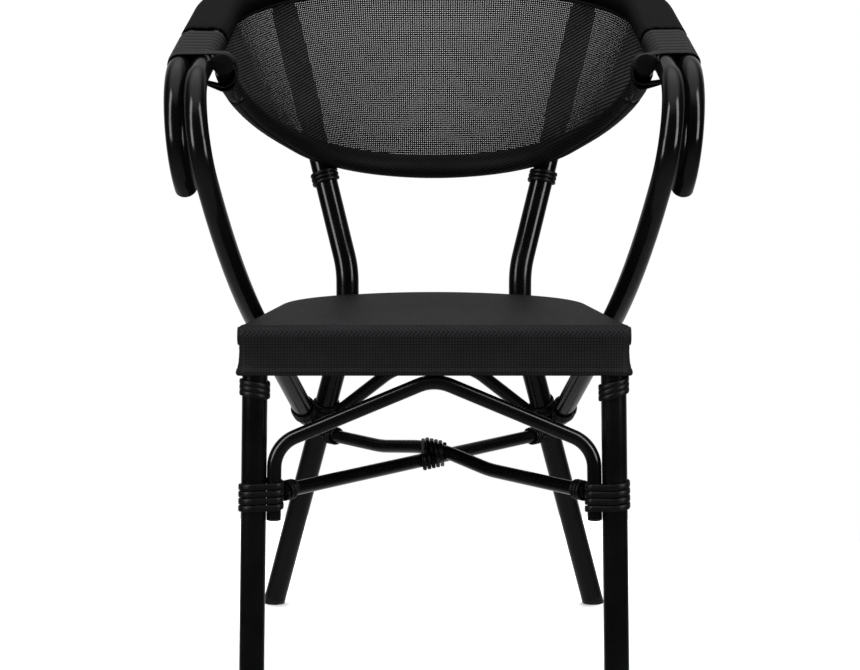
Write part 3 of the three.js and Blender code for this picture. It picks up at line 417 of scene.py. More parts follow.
diagonal_radius = 610.0
inner_corners = [diagonal_end(-1), diagonal_bend(-1), scroll_corner(0, -1), hoop_corner(0, -1),
                 hoop_corner(0, 1), scroll_corner(0, 1), diagonal_bend(1), diagonal_end(1)]
inner_bends = [diagonal_radius, scroll_bend, hoop_bend, hoop_bend, scroll_bend, diagonal_radius]
place_tube("inner_hoop_tube", inner_corners, inner_bends, arm_radius, "arm_hoop_inner", 30)

outer_bend = hoop_bend + hoop_spacing
outer_left = [place(hoop_spacing, -1) for place in (scroll_end, scroll_corner, hoop_corner)]
outer_right = [place(hoop_spacing, 1) for place in (hoop_corner, scroll_corner, scroll_end)]
outer_corners = outer_left + outer_right
outer_bends = [scroll_bend, outer_bend, outer_bend, scroll_bend]
place_tube("outer_hoop_tube", outer_corners, outer_bends, arm_radius, "arm_hoop_outer", 30)
print("legs and hoops bent")

# %% [markdown]
# ## Seat outline
# The seat is straight at the front with tight corners, its sides taper, and its rear is a broad
# curve. One function gives points along it, evenly enough for smooth rails and a smooth skirt.

# %% Seat outline
front_edge, corner_round, half_front, half_side = -16.5, 9.0, 214.8, 181.8
side_depth, rear_edge = 240, 390
side_taper = (half_front - half_side) / (side_depth - front_edge)


def bezier(places, share):
    while len(places) > 1:
        places = [a.lerp(b, share) for a, b in zip(places, places[1:])]
    return places[0]


def seat_outline():
    """Right half of the outline, from the middle of the front to the middle of the rear."""
    a = Vector((half_front - corner_round, front_edge))
    b = Vector((half_front, front_edge))
    c = Vector((half_front - side_taper * corner_round, front_edge + corner_round))
    side_end = Vector((half_side, side_depth))
    rear = [side_end, Vector((half_side - side_taper * 87, 327)), Vector((half_side * 0.58, rear_edge)),
            Vector((0, rear_edge))]
    points = [Vector((0, front_edge)).lerp(a, k / 16) for k in range(16)]
    points += [bezier([a, b, c], k / 6) for k in range(6)]
    points += [c.lerp(side_end, k / 18) for k in range(18)]
    points += [bezier(rear, k / 28) for k in range(29)]
    return points


right_half = seat_outline()
outline = right_half + [Vector((-p.x, p.y)) for p in right_half[-2:0:-1]]


def outward(i):
    ahead, back = outline[(i + 1) % len(outline)], outline[i - 1]
    along = (ahead - back).normalized()
    return Vector((along.y, -along.x))


outwards = [outward(i) for i in range(len(outline))]


def outline_at(i, inset):
    return outline[i % len(outline)] - outwards[i % len(outline)] * inset


print("seat outline of", len(outline), "points")

# %% [markdown]
# ## Rails under the seat, back rail, arches and stretchers
# These tubes carry the seat and brace the legs. The rims follow the seat outline, so they are a
# rim pushed from point to point. The front arch has a peak with a small bend, the rear one has
# two shoulders, and the two stretchers cross in an X, where one is bent up over the other.

# %% Rails under the seat
def heading_at(places, i):
    """The way ahead at one of a row of places."""
    return (places[min(i + 1, len(places) - 1)] - places[max(i - 1, 0)]).normalized()


def crook(bm, rim, stations, along=None):
    """Pushes a rim along close stations, turning it as the path turns. Returns the way's length."""
    heading, length = heading_at(stations, 0), 0.0
    for i in range(1, len(stations)):
        step, ahead = stations[i] - stations[i - 1], heading_at(stations, i)
        rim = push(bm, rim, step)
        turned = heading.rotation_difference(ahead).to_matrix()
        bmesh.ops.rotate(bm, cent=stations[i], matrix=turned, verts=ends_of(rim))
        heading, length = ahead, length + step.length
        if along is not None:
            for v in ends_of(rim):
                v[along] = length
    return length


def rim_tube(inset, start_depth, height, radius):
    right = [outline_at(i, inset) for i in range(len(right_half))]
    right = [p for p in right if p.y > start_depth + 4]
    stations = [Vector((p.x, p.y, height)) for p in right]
    stations += [Vector((-p.x, p.y, height)) for p in right[-2::-1]]
    bm = bmesh.new()
    rim = start_rim(bm, stations[0], (stations[1] - stations[0]).normalized(), radius, 20)
    crook(bm, rim, stations)
    close_ends(bm)
    return bm


def bar(half, depth, height):
    """The two ends of a straight tube across the chair."""
    return [Vector((-half, depth, height)), Vector((half, depth, height))]


seat_rail_height, seat_rail_depth, rail_half = 421.5, -4, half_front - 2.6
lower_height, lower_depth, lower_half, rear_depth = 387.0, -6, 181.9, 379.2
cross_half = rear_leg(brace_top, 1).x - 12
place_tube("seat_front_tube", bar(rail_half, seat_rail_depth, seat_rail_height), [], rail_radius,
           "seat_front_rail")
place_piece("seat_rim_tube", rim_tube(12.8, 1, seat_rail_height, rail_radius), powder, ["seat_rim"])
place_tube("seat_lower_front_tube", bar(lower_half, lower_depth, lower_height), [], brace_radius,
           "seat_lower_front_rail", 24)
place_piece("seat_lower_rim_tube", rim_tube(10.8, 12, lower_height, brace_radius), powder,
            ["seat_lower_rim"])
place_tube("crossbar_tube", bar(cross_half, rear_depth, brace_top), [], brace_radius, "rear_crossbar", 24)
print("seat rails made")

# %% Back rail
rail_drop, rail_reach, rail_inset = radians(8), 8.0, 23.1
rail_side_depth, rail_rear_depth, rail_rise = 211, 440, 149
rail_start = arm_place(0, rail_reach, 1)
rail_start -= Vector((rail_inset * cos(rail_drop), 0, rail_inset * sin(rail_drop)))
rail_rear = Vector((arm_half - 123.5, rail_rear_depth, seat_height + rail_rise))
side_share = (rail_side_depth - rail_start.y) / (rail_rear_depth - rail_start.y)
rail_side = rail_start.lerp(rail_rear, side_share)
rail_side.x = arm_half - 7
rail_corners = [to_side(rail_start, -1), to_side(rail_side, -1), to_side(rail_rear, -1),
                rail_rear, rail_side, rail_start]
rail_bends = [555, 181, 181, 555]
place_tube("back_rail_tube", rail_corners, rail_bends, rail_radius, "back_rail")
print("back rail starts at", [round(v, 1) for v in rail_start])

# %% Arches
stub_away = leg_radius + brace_radius + weld_gap


def front_stub(height, side):
    return front_leg(height, side) - Vector((side * stub_away, 0, 0))


def peak_corner(end, peak, radius):
    """The corner whose rounding has its top at the peak."""
    foot = Vector((0, end.y, end.z))
    rise = (peak - foot).normalized()
    corner = peak.copy()
    for _ in range(20):
        steepness = atan2((corner - foot).length, end.x)
        corner = peak + rise * (radius / cos(steepness) - radius)
    return corner


peak_radius, shoulder_radius = 45, 38
arch_peak = peak_corner(front_stub(stub_shoulder, 1), Vector((0, -6, brace_top)), peak_radius)
arch_corners = [front_stub(stub_foot, -1), front_stub(stub_shoulder, -1), arch_peak,
                front_stub(stub_shoulder, 1), front_stub(stub_foot, 1)]
arch_bends = [shoulder_radius, peak_radius, shoulder_radius]
place_tube("front_arch_tube", arch_corners, arch_bends, brace_radius, "front_arch")

tab_size = Vector((14, 4, 12))
rear_arch_top = brace_top - 2 * brace_radius - tab_size.z - 2 * weld_gap
rear_arch_half, rear_arch_bend = 44, 60
rear_arch_corners = [rear_leg(rear_arch_height, -1), *bar(rear_arch_half, rear_depth, rear_arch_top),
                     rear_leg(rear_arch_height, 1)]
place_tube("rear_arch_tube", rear_arch_corners, [rear_arch_bend] * 2, brace_radius, "rear_arch")
print("front arch bent round", [round(v, 1) for v in arch_peak])

# %% Stretchers
strip_wide, strip_thick, cord_wide, cord_thick = 7.0, 2.6, 4.4, 3.0
winding_gap = 0.4


def wound_radius(radius, thick):
    """Outside of a winding in the CAD, which is wound with ten corners a turn."""
    return (radius + winding_gap + thick / 2) / cos(pi / 10) + thick / 2


def stretcher_line(side):
    """The axis of a stretcher, from the binding at the front to the rear leg of the other side."""
    stub, leg = front_stub(stretcher_height, side), rear_leg(stretcher_height, -side)
    run = (leg - stub).normalized()
    return stub + run * (wound_radius(brace_radius, strip_thick) + 2 * weld_gap), leg


low_start, low_end = stretcher_line(-1)
high_start, high_end = stretcher_line(1)
low_run, high_run = (low_end - low_start).normalized(), (high_end - high_start).normalized()
crossing = high_start.lerp(high_end, high_start.x / (high_start.x - high_end.x))
lift, lift_radius, ramp_start, ramp_end = 10, 220, 110, 27.5
lifted = crossing + Vector((0, 0, lift))
high_corners = [high_start, crossing - high_run * ramp_start, lifted - high_run * ramp_end,
                lifted + high_run * ramp_end, crossing + high_run * ramp_start, high_end]
place_tube("stretcher_low_tube", [low_start, low_end], [], brace_radius, "stretcher_lower")
place_tube("stretcher_high_tube", high_corners, [lift_radius] * 4, brace_radius, "stretcher_upper")
print("stretchers cross at", [round(v, 1) for v in crossing])

# %% [markdown]
# ## Weave and wicker finishes
# The seat and back are textilene: polyester yarn in a PVC skin, woven and then heat-set, so it
# is a matt black grid of small dots with a slight shine on each yarn. The bindings are strips of
# extruded polyethylene, satin, with fine lengthwise grooves. Seat, sleeve and strips read a UV map
# in metres that the piece carries, so the pattern follows them. The seat's lip has a woven row of
# arrows, at one height all round. The threads of the back, the hems and the pockets climb to the
# right over all of them at once, so those finishes read Object coordinates.

# %% Weaves in a shader
lip_height, lip_half_tall, lip_pitch = 0.4272, 0.0042, 5.0


def surface_grid(tree):
    """The piece's own UV map, in metres: u across the strip or cloth, v along it."""
    grid = add(tree, "ShaderNodeUVMap", {"uv_map": "cloth"}).outputs["UV"]
    parts = add(tree, "ShaderNodeSeparateXYZ", inputs={"Vector": grid})
    return parts.outputs["X"], parts.outputs["Y"]


def ripple(tree, run, pitch):
    """A wave of height -1 to 1 along a run in metres, with the pitch in millimetres."""
    return calc(tree, "SINE", calc(tree, "MULTIPLY", run, 2000 * pi / pitch))


def drift(tree, place, much):
    """Slow unevenness of the yarn, about 30 mm across, round zero."""
    return calc(tree, "MULTIPLY", calc(tree, "SUBTRACT", noise(tree, place, 30, 3.0), 0.5), much)


def lip_arrows(tree, place, height):
    """Puts a row of arrows over the weave at the height of the seat's lip, away from its middle."""
    spot = add(tree, "ShaderNodeSeparateXYZ", inputs={"Vector": place})
    above = calc(tree, "ABSOLUTE", calc(tree, "SUBTRACT", spot.outputs["Z"], lip_height))
    run = calc(tree, "ADD", calc(tree, "ADD", spot.outputs["X"], spot.outputs["Y"]), above)
    arrows = calc(tree, "ADD", calc(tree, "MULTIPLY", ripple(tree, run, lip_pitch), 0.42), 0.62)
    middle = (0, leg_axis_y + 0.191, lip_height)
    away = add(tree, "ShaderNodeVectorMath", {"operation": "DISTANCE"}, {0: place, 1: middle})
    near = calc(tree, "MULTIPLY", calc(tree, "LESS_THAN", above, lip_half_tall),
                calc(tree, "GREATER_THAN", away.outputs["Value"], 0.17))
    chosen = add(tree, "ShaderNodeMix", {"data_type": "FLOAT"}, {"Factor": near, 2: height, 3: arrows})
    return chosen.outputs[0]


def textilene(name, pitch, dark, light, strength, gloss, lip=False):
    """Basket weave turned by 45 degrees, whose yarns read as small diamonds."""
    material, tree, shader = finish_named(name, 0.6, gloss)
    u, v = surface_grid(tree)
    u, v = calc(tree, "ADD", u, v), calc(tree, "SUBTRACT", u, v)
    knots = calc(tree, "MULTIPLY", ripple(tree, u, pitch), ripple(tree, v, pitch))
    height = calc(tree, "ADD", calc(tree, "MULTIPLY", knots, 0.38), 0.42)
    place = object_place(tree)
    if lip:
        height = lip_arrows(tree, place, height)
    paint(tree, shader, calc(tree, "ADD", height, drift(tree, place, 0.4)), dark, light, 0.2, 1.0)
    emboss(tree, shader, height, strength, 0.5)
    return material


def twill(name, dark, light, strength, gloss=0.06, pitch=3.4, degrees=30):
    """Threads that climb to the right across the cloth, as seen from the front."""
    material, tree, shader = finish_named(name, 0.6, gloss)
    place = object_place(tree)
    spot = add(tree, "ShaderNodeSeparateXYZ", inputs={"Vector": place})
    sideways = calc(tree, "MULTIPLY", spot.outputs["X"], -sin(radians(degrees)))
    upwards = calc(tree, "MULTIPLY", spot.outputs["Z"], cos(radians(degrees)))
    threads = ripple(tree, calc(tree, "ADD", sideways, upwards), pitch)
    paint(tree, shader, calc(tree, "ADD", threads, drift(tree, place, 1.0)), dark, light, 0.1, 1.0)
    emboss(tree, shader, threads, strength, 0.4)
    return material


# %% Weave materials
seat_weave = textilene("textilene_seat_weave", 6.4, "030304", "1c1c1f", 0.8, 0.07, True)
sleeve_weave = textilene("textilene_sleeve_weave", 3.2, "050506", "0c0c0d", 0.2, 0.02)
back_yarn = twill("textilene_back_yarn", "050506", "3a3a3c", 0.2)
hem_weave = twill("textilene_doubled_hem", "030304", "131314", 0.35, 0.04)
pocket_tape = twill("ribbed_pocket_tape", "030304", "1a1a1c", 0.3)
print("weaves", seat_weave.name, sleeve_weave.name, back_yarn.name, hem_weave.name, pocket_tape.name)

# %% Wicker and plastic materials
def wicker_strip():
    material, tree, shader = finish_named("satin_polyethylene_wicker", 0.4, 0.07)
    across, along = surface_grid(tree)
    stretched = add(tree, "ShaderNodeCombineXYZ", inputs={
        "X": calc(tree, "MULTIPLY", across, 900.0), "Y": calc(tree, "MULTIPLY", along, 40.0)})
    streaks = add(tree, "ShaderNodeTexNoise", inputs={
        "Vector": stretched.outputs["Vector"], "Scale": 1.0, "Detail": 2.0}).outputs["Fac"]
    grooves = calc(tree, "MULTIPLY", ripple(tree, across, 1.1), 0.3)
    paint(tree, shader, streaks, "050506", "0c0c0d")
    emboss(tree, shader, calc(tree, "ADD", grooves, streaks), 0.25, 0.3)
    return material


def moulded_plastic():
    material, tree, shader = finish_named("moulded_black_polypropylene", 0.45, 0.16)
    grain = noise(tree, object_place(tree), 0.9, 1.0)
    paint(tree, shader, grain, "08080a", "0e0e10")
    emboss(tree, shader, grain, 0.15, 0.2)
    return material


wicker, plastic = wicker_strip(), moulded_plastic()
print("finishes", wicker.name, plastic.name)

# %% [markdown]
# ## Bindings
# At each joint a flat strip of plastic wicker is wound round the tubes and its ends are tucked in.
# The strip lies on the tube, or goes straight across from one tube to the next, as a belt does. A
# rounded flat section is pushed and turned along that way, about 40 steps a turn, as one unbroken
# strip. A stack of rings would be simpler, but its turns wouldn't climb.

# %% Way of the strip
def belt(circles_at, turns, pitch, thick, steps=40):
    """Stations round the circles: advance along the axis, place in the plane, outward angle."""
    def outermost(k):
        angle = 2 * pi * k / steps
        circles = circles_at(pitch * k / steps, floor(k / steps))
        reaches = [x * cos(angle) + y * sin(angle) + r for x, y, r in circles]
        return reaches.index(max(reaches))

    def station(k, which):
        angle = 2 * pi * k / steps
        x, y, r = circles_at(pitch * k / steps, floor(k / steps))[which]
        ramp = min(k, turns * steps - k) / (steps / 8)
        reach = r + winding_gap + thick / 2 - 0.7 * thick * max(0, 1 - ramp)
        return pitch * k / steps, x + reach * cos(angle), y + reach * sin(angle), angle

    found, before = [], outermost(0)
    for k in range(turns * steps + 1):
        which = outermost(k)
        if which != before:
            near, far = k - 1, k
            for _ in range(12):
                middle = (near + far) / 2
                near, far = (middle, far) if outermost(middle) == before else (near, middle)
            found += [station(near, before), station(far, which)]
        found.append(station(k, which))
        before = which
    return found


def one_tube(radius):
    return lambda advance, turn: [(0, 0, radius)]


print("one turn round a leg has", len(belt(one_tube(leg_radius), 1, 8.0, 2.6)), "stations")

# %% Winder
def section_rim(bm, wide, thick, frame_here):
    """A flat section with round edges and a slight crown, standing across the strip."""
    across = bm.verts.layers.float["across"]
    disc = bmesh.ops.create_circle(bm, segments=12, radius=1)["verts"]
    for v in disc:
        v.co.x = (abs(v.co.x) ** 0.62) * (1 if v.co.x > 0 else -1) * wide / 2
        v.co.y = (abs(v.co.y) ** 0.8) * (1 if v.co.y > 0 else -1) * thick / 2
        v[across] = v.co.x
    bmesh.ops.transform(bm, matrix=frame_here, verts=disc)
    return rim_of(disc)


def strip_frame(places, outs, i):
    """The turn and place of the strip's section at a station: across, outwards, ahead."""
    ahead = heading_at(places, i)
    side_on = ahead.cross(outs[i]).normalized()
    up_out = side_on.cross(ahead)
    turned = Matrix((side_on, up_out, ahead)).transposed().to_4x4()
    return Matrix.Translation(places[i]) @ turned


def cloth_layers(bm):
    """Two values on each vertex: where it lies across and along its strip or cloth."""
    bm.verts.layers.float.new("across")
    bm.verts.layers.float.new("along")
    return bm.verts.layers.float["across"], bm.verts.layers.float["along"]


def lay_cloth(bm, across, along):
    """Writes the two vertex values as the UV map that the finishes read, in metres."""
    lay = bm.loops.layers.uv.new("cloth")
    for face in bm.faces:
        for loop in face.loops:
            loop[lay].uv = (loop.vert[across] / 1000, loop.vert[along] / 1000)


def wind(name, origin, axis, zero, circles_at, turns, pitch, wide, thick, slant=0.0):
    """Winds a strip round the circles, up the axis, and returns its length in millimetres."""
    third = axis.cross(zero).normalized()
    places, outs = [], []
    for advance, x, y, angle in belt(circles_at, turns, pitch, thick):
        place = origin + axis * (advance + y * tan(slant)) + zero * x + third * y
        if not places or (place - places[-1]).length > 0.3:
            places.append(place)
            outs.append(zero * cos(angle) + third * sin(angle))
    bm = bmesh.new()
    across, along = cloth_layers(bm)
    before = strip_frame(places, outs, 0)
    rim = section_rim(bm, wide, thick, before)
    length = 0.0
    for i in range(1, len(places)):
        here = strip_frame(places, outs, i)
        length += (places[i] - places[i - 1]).length
        rim = push(bm, rim, Vector((0, 0, 0)))
        bmesh.ops.transform(bm, matrix=here @ before.inverted(), verts=ends_of(rim))
        for v in ends_of(rim):
            v[along] = length
        before = here
    close_ends(bm)
    lay_cloth(bm, across, along)
    place_piece(name + "_strip", bm, wicker, [name], sharp=0)
    return length


# %% Bindings of the legs
strip_pitch, cord_pitch = 7.9, 5.2
used = 0.0
for word, side in sides:
    heading = front_heading[side]
    pair = lambda advance, turn, side=side: [(0, 0, leg_radius), (0, side * stub_away, brace_radius)]
    used += wind("front_binding_" + word, front_leg(stub_foot + 9, side), heading, Vector((0, 1, 0)), pair,
                 4, strip_pitch, strip_wide, strip_thick)
    used += wind("leg_top_binding_" + word, front_leg(skirt_foot - 24.8, side), heading, Vector((0, 1, 0)),
                 one_tube(leg_radius), 3, 6.0, 6.2, strip_thick, -side * radians(12))
    heading = rear_heading[side]
    used += wind("rear_leg_binding_" + word, rear_leg(rear_arch_height + 6, side), heading,
                 heading.cross(Vector((1, 0, 0))).normalized(), one_tube(leg_radius),
                 4, strip_pitch, strip_wide, strip_thick)
print("strip round the legs:", round(used / 1000, 2), "m")

# %% Collars of cord
def collar(name, start, towards, set_back, radius):
    axis = (towards - start).normalized()
    return wind(name, start + axis * set_back, axis, axis.cross(Vector((0, 0, 1))).normalized(),
                one_tube(radius), 3, cord_pitch, cord_wide, cord_thick)


rear_set_back = wound_radius(leg_radius, strip_thick) + weld_gap + cord_wide * 2
arm_set_back = wound_radius(brace_radius, strip_thick) + cord_wide
used = 0.0
for word, start, end in (("left", low_start, low_end), ("right", high_start, high_end)):
    used += collar("stretcher_front_collar_" + word, start, end, cord_wide, brace_radius)
    used += collar("stretcher_rear_collar_" + word, end, start, rear_set_back, brace_radius)
for word, side in sides:
    used += collar("arm_end_collar_" + word, diagonal_end(side), diagonal_bend(side), arm_set_back,
                   arm_radius)
print("cord in the collars:", round(used / 1000, 2), "m")

# %% Bindings of the uprights, under the back rail
def upright_at(height, side):
    share = (height - waist.z) / (upright_top.z - waist.z)
    return to_side(waist.lerp(upright_top, share), side)


rail_points = bend_points(rail_corners, rail_bends)
rail_at_upright = min((abs(p.x - upright_at(p.z, 1).x), p.z) for p in rail_points if p.x > 0)[1]
for word, side in sides:
    heading = upright_heading[side]
    foot = rail_at_upright - rail_radius - leg_radius - 3 * cord_pitch
    wind("upright_binding_" + word, upright_at(foot, side), heading,
         heading.cross(Vector((1, 0, 0))).normalized(), one_tube(leg_radius),
         3, cord_pitch, cord_wide, cord_thick)
print("back rail meets the uprights at height", round(rail_at_upright, 1))

# %% End of a strip
def tuck_strip(name, origin, directions, circles, thick=2.2):
    """The end of a strip, laid flat across the front of its loop to close it."""
    bm = bmesh.new()
    across, along = cloth_layers(bm)
    for v in bmesh.ops.create_circle(bm, cap_ends=True, segments=48, radius=1)["verts"]:
        x, y, radius = max(circles, key=lambda c: c[0] * v.co.x + c[1] * v.co.y + c[2])
        v.co = Vector((x, y, 0)) + v.co * radius
        v[across], v[along] = v.co.y, v.co.x
    grown = bmesh.ops.extrude_face_region(bm, geom=bm.faces[:])["geom"]
    top = [v for v in grown if isinstance(v, bmesh.types.BMVert)]
    bmesh.ops.translate(bm, vec=(0, 0, thick), verts=top)
    round_edges(bm, [e for e in bm.edges if abs(e.verts[0].co.z - e.verts[1].co.z) < 0.01], 0.7)
    lay_cloth(bm, across, along)
    turned = Matrix(directions).transposed().to_4x4()
    bmesh.ops.transform(bm, matrix=Matrix.Translation(origin) @ turned, verts=bm.verts)
    place_piece(name + "_end", bm, wicker, [], sharp=30)


# %% Arm bands
band_pitch, band_wide, band_thick = 13.0, 12.6, 2.0
tuck_behind, tuck_corner = 6.6, (-12.5, 9.5, 3.0)


def arm_band(word, side):
    """Eight turns round both hoops, with the first two round the end of the back rail too."""
    rail_end = to_side(rail_start, side)
    rail_ahead = (rail_points[1] - rail_points[0]) if side < 0 else (rail_points[-2] - rail_points[-1])
    rail_ahead = rail_ahead.normalized()
    origin = arm_place(0, 4, side)
    arm_heading = (arm_place(0, hoop_reach, side) - origin).normalized()
    outside = (Vector((side, 0, 0)) - arm_heading * side * arm_heading.x).normalized()
    third = arm_heading.cross(outside)
    rail_offset = (rail_end - origin).dot(arm_heading)

    def rail_beside(advance):
        """Where the back rail is beside the arm, as seen along it."""
        reach = (advance - rail_offset) / rail_ahead.dot(arm_heading)
        at = rail_end + rail_ahead * reach - origin
        return at.dot(outside), at.dot(third)

    def arm_circles(advance, turn):
        circles = [(0, 0, arm_radius), (hoop_spacing, 0, arm_radius)]
        if turn < 2:
            circles += [(*rail_beside(advance + edge), rail_radius * 1.2) for edge in (-6, 6)]
        return circles

    length = wind("arm_band_" + word, origin, arm_heading, outside, arm_circles, 8, band_pitch, band_wide,
                  band_thick)
    rail_x, rail_y = rail_beside(-6)
    rail_circle = (rail_x, -side * rail_y, rail_radius * 1.2)
    tuck_strip("arm_band_" + word, origin - arm_heading * tuck_behind,
               (outside, -side * third, arm_heading), [rail_circle, tuck_corner])
    return length


band_lengths = [arm_band(word, side) for word, side in sides]
print("strip in each arm band:", round(band_lengths[0] / 1000, 2), "m")

# %% Knot where the stretchers cross
slope_low, slope_high = low_run.y / low_run.x, high_run.y / high_run.x
spread = brace_radius / abs(high_run.x) - brace_radius + abs(slope_high) * cord_wide / 2
half_knot = 2.5 * cord_pitch


def knot_circles(advance, turn):
    away = advance - half_knot
    return [(rise, -away * slope + aside, brace_radius)
            for rise, slope in ((0, slope_low), (lift, slope_high)) for aside in (-spread, spread)]


knot_start = Vector((-half_knot, crossing.y, crossing.z))
wind("stretcher_knot", knot_start, Vector((1, 0, 0)), Vector((0, 0, 1)), knot_circles,
     5, cord_pitch, cord_wide, cord_thick)
print("knot tied")

# %% [markdown]
# ## Glides, caps and plugs
# Every open tube end is closed with a moulded plug: a glide that the leg stands on, and flat caps
# at the scrolls, the arch stubs and the seat rail. Each is a short turned disc with its rim
# rounded over. A leaning leg has its glide cut level, so the chair stands flat on the floor.

# %% Glides, caps and plugs
def turned_disc(start, heading, radius, thick):
    bm = bmesh.new()
    bmesh.ops.create_cone(bm, cap_ends=True, segments=40, radius1=radius, radius2=radius, depth=thick,
                          matrix=standing(start + heading * thick / 2, heading))
    return bm


def round_rim(bm, flat_normal, offset):
    """Rounds the rim of the end face that looks along the given normal."""
    end = max(bm.faces, key=lambda face: face.normal.dot(flat_normal) * (len(face.verts) > 4))
    round_edges(bm, list(end.edges), offset, 3)


def end_cap(name, start, heading, radius, thick):
    bm = turned_disc(start + heading * weld_gap, heading, radius, thick)
    round_rim(bm, heading, min(1.2, thick * 0.45))
    place_piece(name + "_cap", bm, plastic, [name], sharp=30)


def glide(name, foot, heading):
    """A plug along the leg, cut level at the floor."""
    height = glide_seam(heading) - weld_gap
    bm = turned_disc(foot - heading * leg_radius, heading, leg_radius, height + leg_radius)
    bmesh.ops.bisect_plane(bm, geom=bm.verts[:] + bm.edges[:] + bm.faces[:], clear_outer=True,
                           plane_co=(0, 0, 0), plane_no=(0, 0, -1))
    close_ends(bm)
    bmesh.ops.recalc_face_normals(bm, faces=bm.faces)
    round_rim(bm, Vector((0, 0, -1)), 1.0)
    place_piece(name + "_foot", bm, plastic, [name], sharp=30)


cap_thick, plug_thick = 3.0, 2.0
for word, side in sides:
    glide("front_glide_" + word, front_leg(0, side), front_heading[side])
    glide("rear_glide_" + word, rear_leg(0, side), rear_heading[side])
    scroll = scroll_end(hoop_spacing, side)
    scroll_heading = (scroll - scroll_corner(hoop_spacing, side)).normalized()
    end_cap("scroll_cap_" + word, scroll, scroll_heading, arm_radius, cap_thick)
    end_cap("arch_plug_" + word, front_stub(stub_foot, side), -front_heading[side], brace_radius, plug_thick)
    rail_tip = Vector((side * rail_half, seat_rail_depth, seat_rail_height))
    end_cap("seat_rail_plug_" + word, rail_tip, Vector((side, 0, 0)), rail_radius, plug_thick)
print("front glides reach up", round(glide_seam(front_heading[1]), 1), "mm")

# %% Weld tab of the rear arch
tab = bmesh.new()
tab_middle = Vector((0, rear_depth, rear_arch_top + brace_radius + weld_gap + tab_size.z / 2))
tab_shape = Matrix.Diagonal((*tab_size, 1))
bmesh.ops.create_cube(tab, size=1, matrix=Matrix.Translation(tab_middle) @ tab_shape)
round_edges(tab, tab.edges[:], 0.6)
place_piece("rear_arch_weld_tab", tab, powder, ["rear_arch_tab"], sharp=30)
print("weld tab in the middle at", [round(v, 1) for v in tab_middle])

# %% [markdown]
# ## Seat sling
# The seat is one piece of mesh, stretched over the rim and turned down as a deep skirt with a
# rolled hem. It pulls in a little between lip and hem, and it sags a few millimetres in the
# middle. The outline is a ring of edges, and every row of the cloth is that ring extruded: up the
# skirt, round the lip, and then in towards the middle.

# %% Shape of the seat sling
waist_rows = [(2.6, 391), (2.4, 382), (1.6, 379.6), (0.2, 379.1), (-0.9, 380.6), (-1.1, 383.5),
              (-0.6, 386.2), (0.4, 387.4), (0.3, 388.6), (0.5, 393), (0.9, 399), (1.1, 405), (0.9, 411),
              (0.5, 417), (0.2, 421)]
lip_round, sag_depth, sag_half = 8.0, 6.0, 196.0
lip_rows = [(lip_round * (1 - cos(radians(a))), seat_height - lip_round * (1 - sin(radians(a))))
            for a in (0, 18, 36, 54, 72, 90)]
top_shares = (0.03, 0.07, 0.13, 0.2, 0.3, 0.42, 0.55, 0.68, 0.8, 0.9)
seat_middle = Vector((0, 175))
tight_spot, tight_reach = Vector((211, -12)), sqrt(200)
flare_x, flare_reach, flare_out, flare_in = 207, 14, 2.2, 0.8


def bell(away, wide):
    return exp(-(away / wide) ** 2)


def sling_place(i, inset, height, share):
    """Place of the cloth over a point of the outline, a share of the way to the seat's middle."""
    edge = outline[i]
    tight = bell(hypot(abs(edge.x) - tight_spot.x, edge.y - tight_spot.y), tight_reach)
    inset_here = inset * (1 - 0.42 * tight) if inset > 0 else inset
    flat = outline_at(i, inset_here).lerp(seat_middle, share)
    corner = bell(abs(edge.x) - flare_x, flare_reach) if edge.y < 10 else 0.0
    flare = flare_out * bell(height - 381, 7) - flare_in * bell(height - 408, 12)
    flat = flat + outwards[i] * corner * flare
    depth_share = max(0.0, min(1.0, (flat.y + 8) / 398))
    sag = 0.0
    if height > seat_height - 1:
        sag = sag_depth * sin(pi * depth_share) * max(0, 1 - (flat.x / sag_half) ** 2)
    return Vector((flat.x, flat.y, height - sag))


print("the sling has", len(waist_rows) + len(lip_rows) + len(top_shares), "rows")

# %% Seat sling
def seat_sling():
    bm = bmesh.new()
    number = bm.verts.layers.int.new("number")
    across, along = cloth_layers(bm)
    ring = [bm.verts.new((p.x, p.y, 0)) for p in outline]
    for i, v in enumerate(ring):
        v[number] = i
    rim = [bm.edges.new((ring[i - 1], ring[i])) for i in range(len(ring))]

    def set_row(vertices, inset, height, share):
        for v in vertices:
            i = v[number]
            v.co = sling_place(i, inset, height, share)
            turned_up = outwards[i] * max(0, seat_height - height)
            unfolded = outline_at(i, inset).lerp(seat_middle, share) + turned_up
            v[across], v[along] = unfolded.x, unfolded.y

    rows = [(*row, 0) for row in waist_rows + lip_rows]
    rows += [(lip_round, seat_height, share) for share in top_shares]
    set_row(ring, *rows[0])
    for row in rows[1:]:
        rim = push(bm, rim, Vector((0, 0, 0)))
        set_row(ends_of(rim), *row)
    bmesh.ops.holes_fill(bm, edges=rim)
    bmesh.ops.poke(bm, faces=[f for f in bm.faces if len(f.verts) > 4])
    lay_cloth(bm, across, along)
    return bm


def place_cloth(name, bm, finish, thick, replaced=(), offset=-1.0):
    """A piece of cloth, with its real thickness laid inwards or to both sides."""
    cloth = place_piece(name, bm, finish, replaced, sharp=0)
    shell = cloth.modifiers.new("cloth_thickness", "SOLIDIFY")
    shell.thickness, shell.offset = thick / 1000, offset
    return cloth


sling = place_cloth("seat_sling_cloth", seat_sling(), seat_weave, 1.6, ["seat_sling"])
print("seat sling", len(sling.data.polygons), "faces")

# %% [markdown]
# ## Sleeve over the hoops
# A sleeve of the same cloth is pulled over both hoops from band to band. Where the bands choke
# it, it gathers in fine lengthwise folds, and a hand's width further on it lies smooth. It is one
# flat oval pushed along the hoops, and each point then moves out or in by its fold.

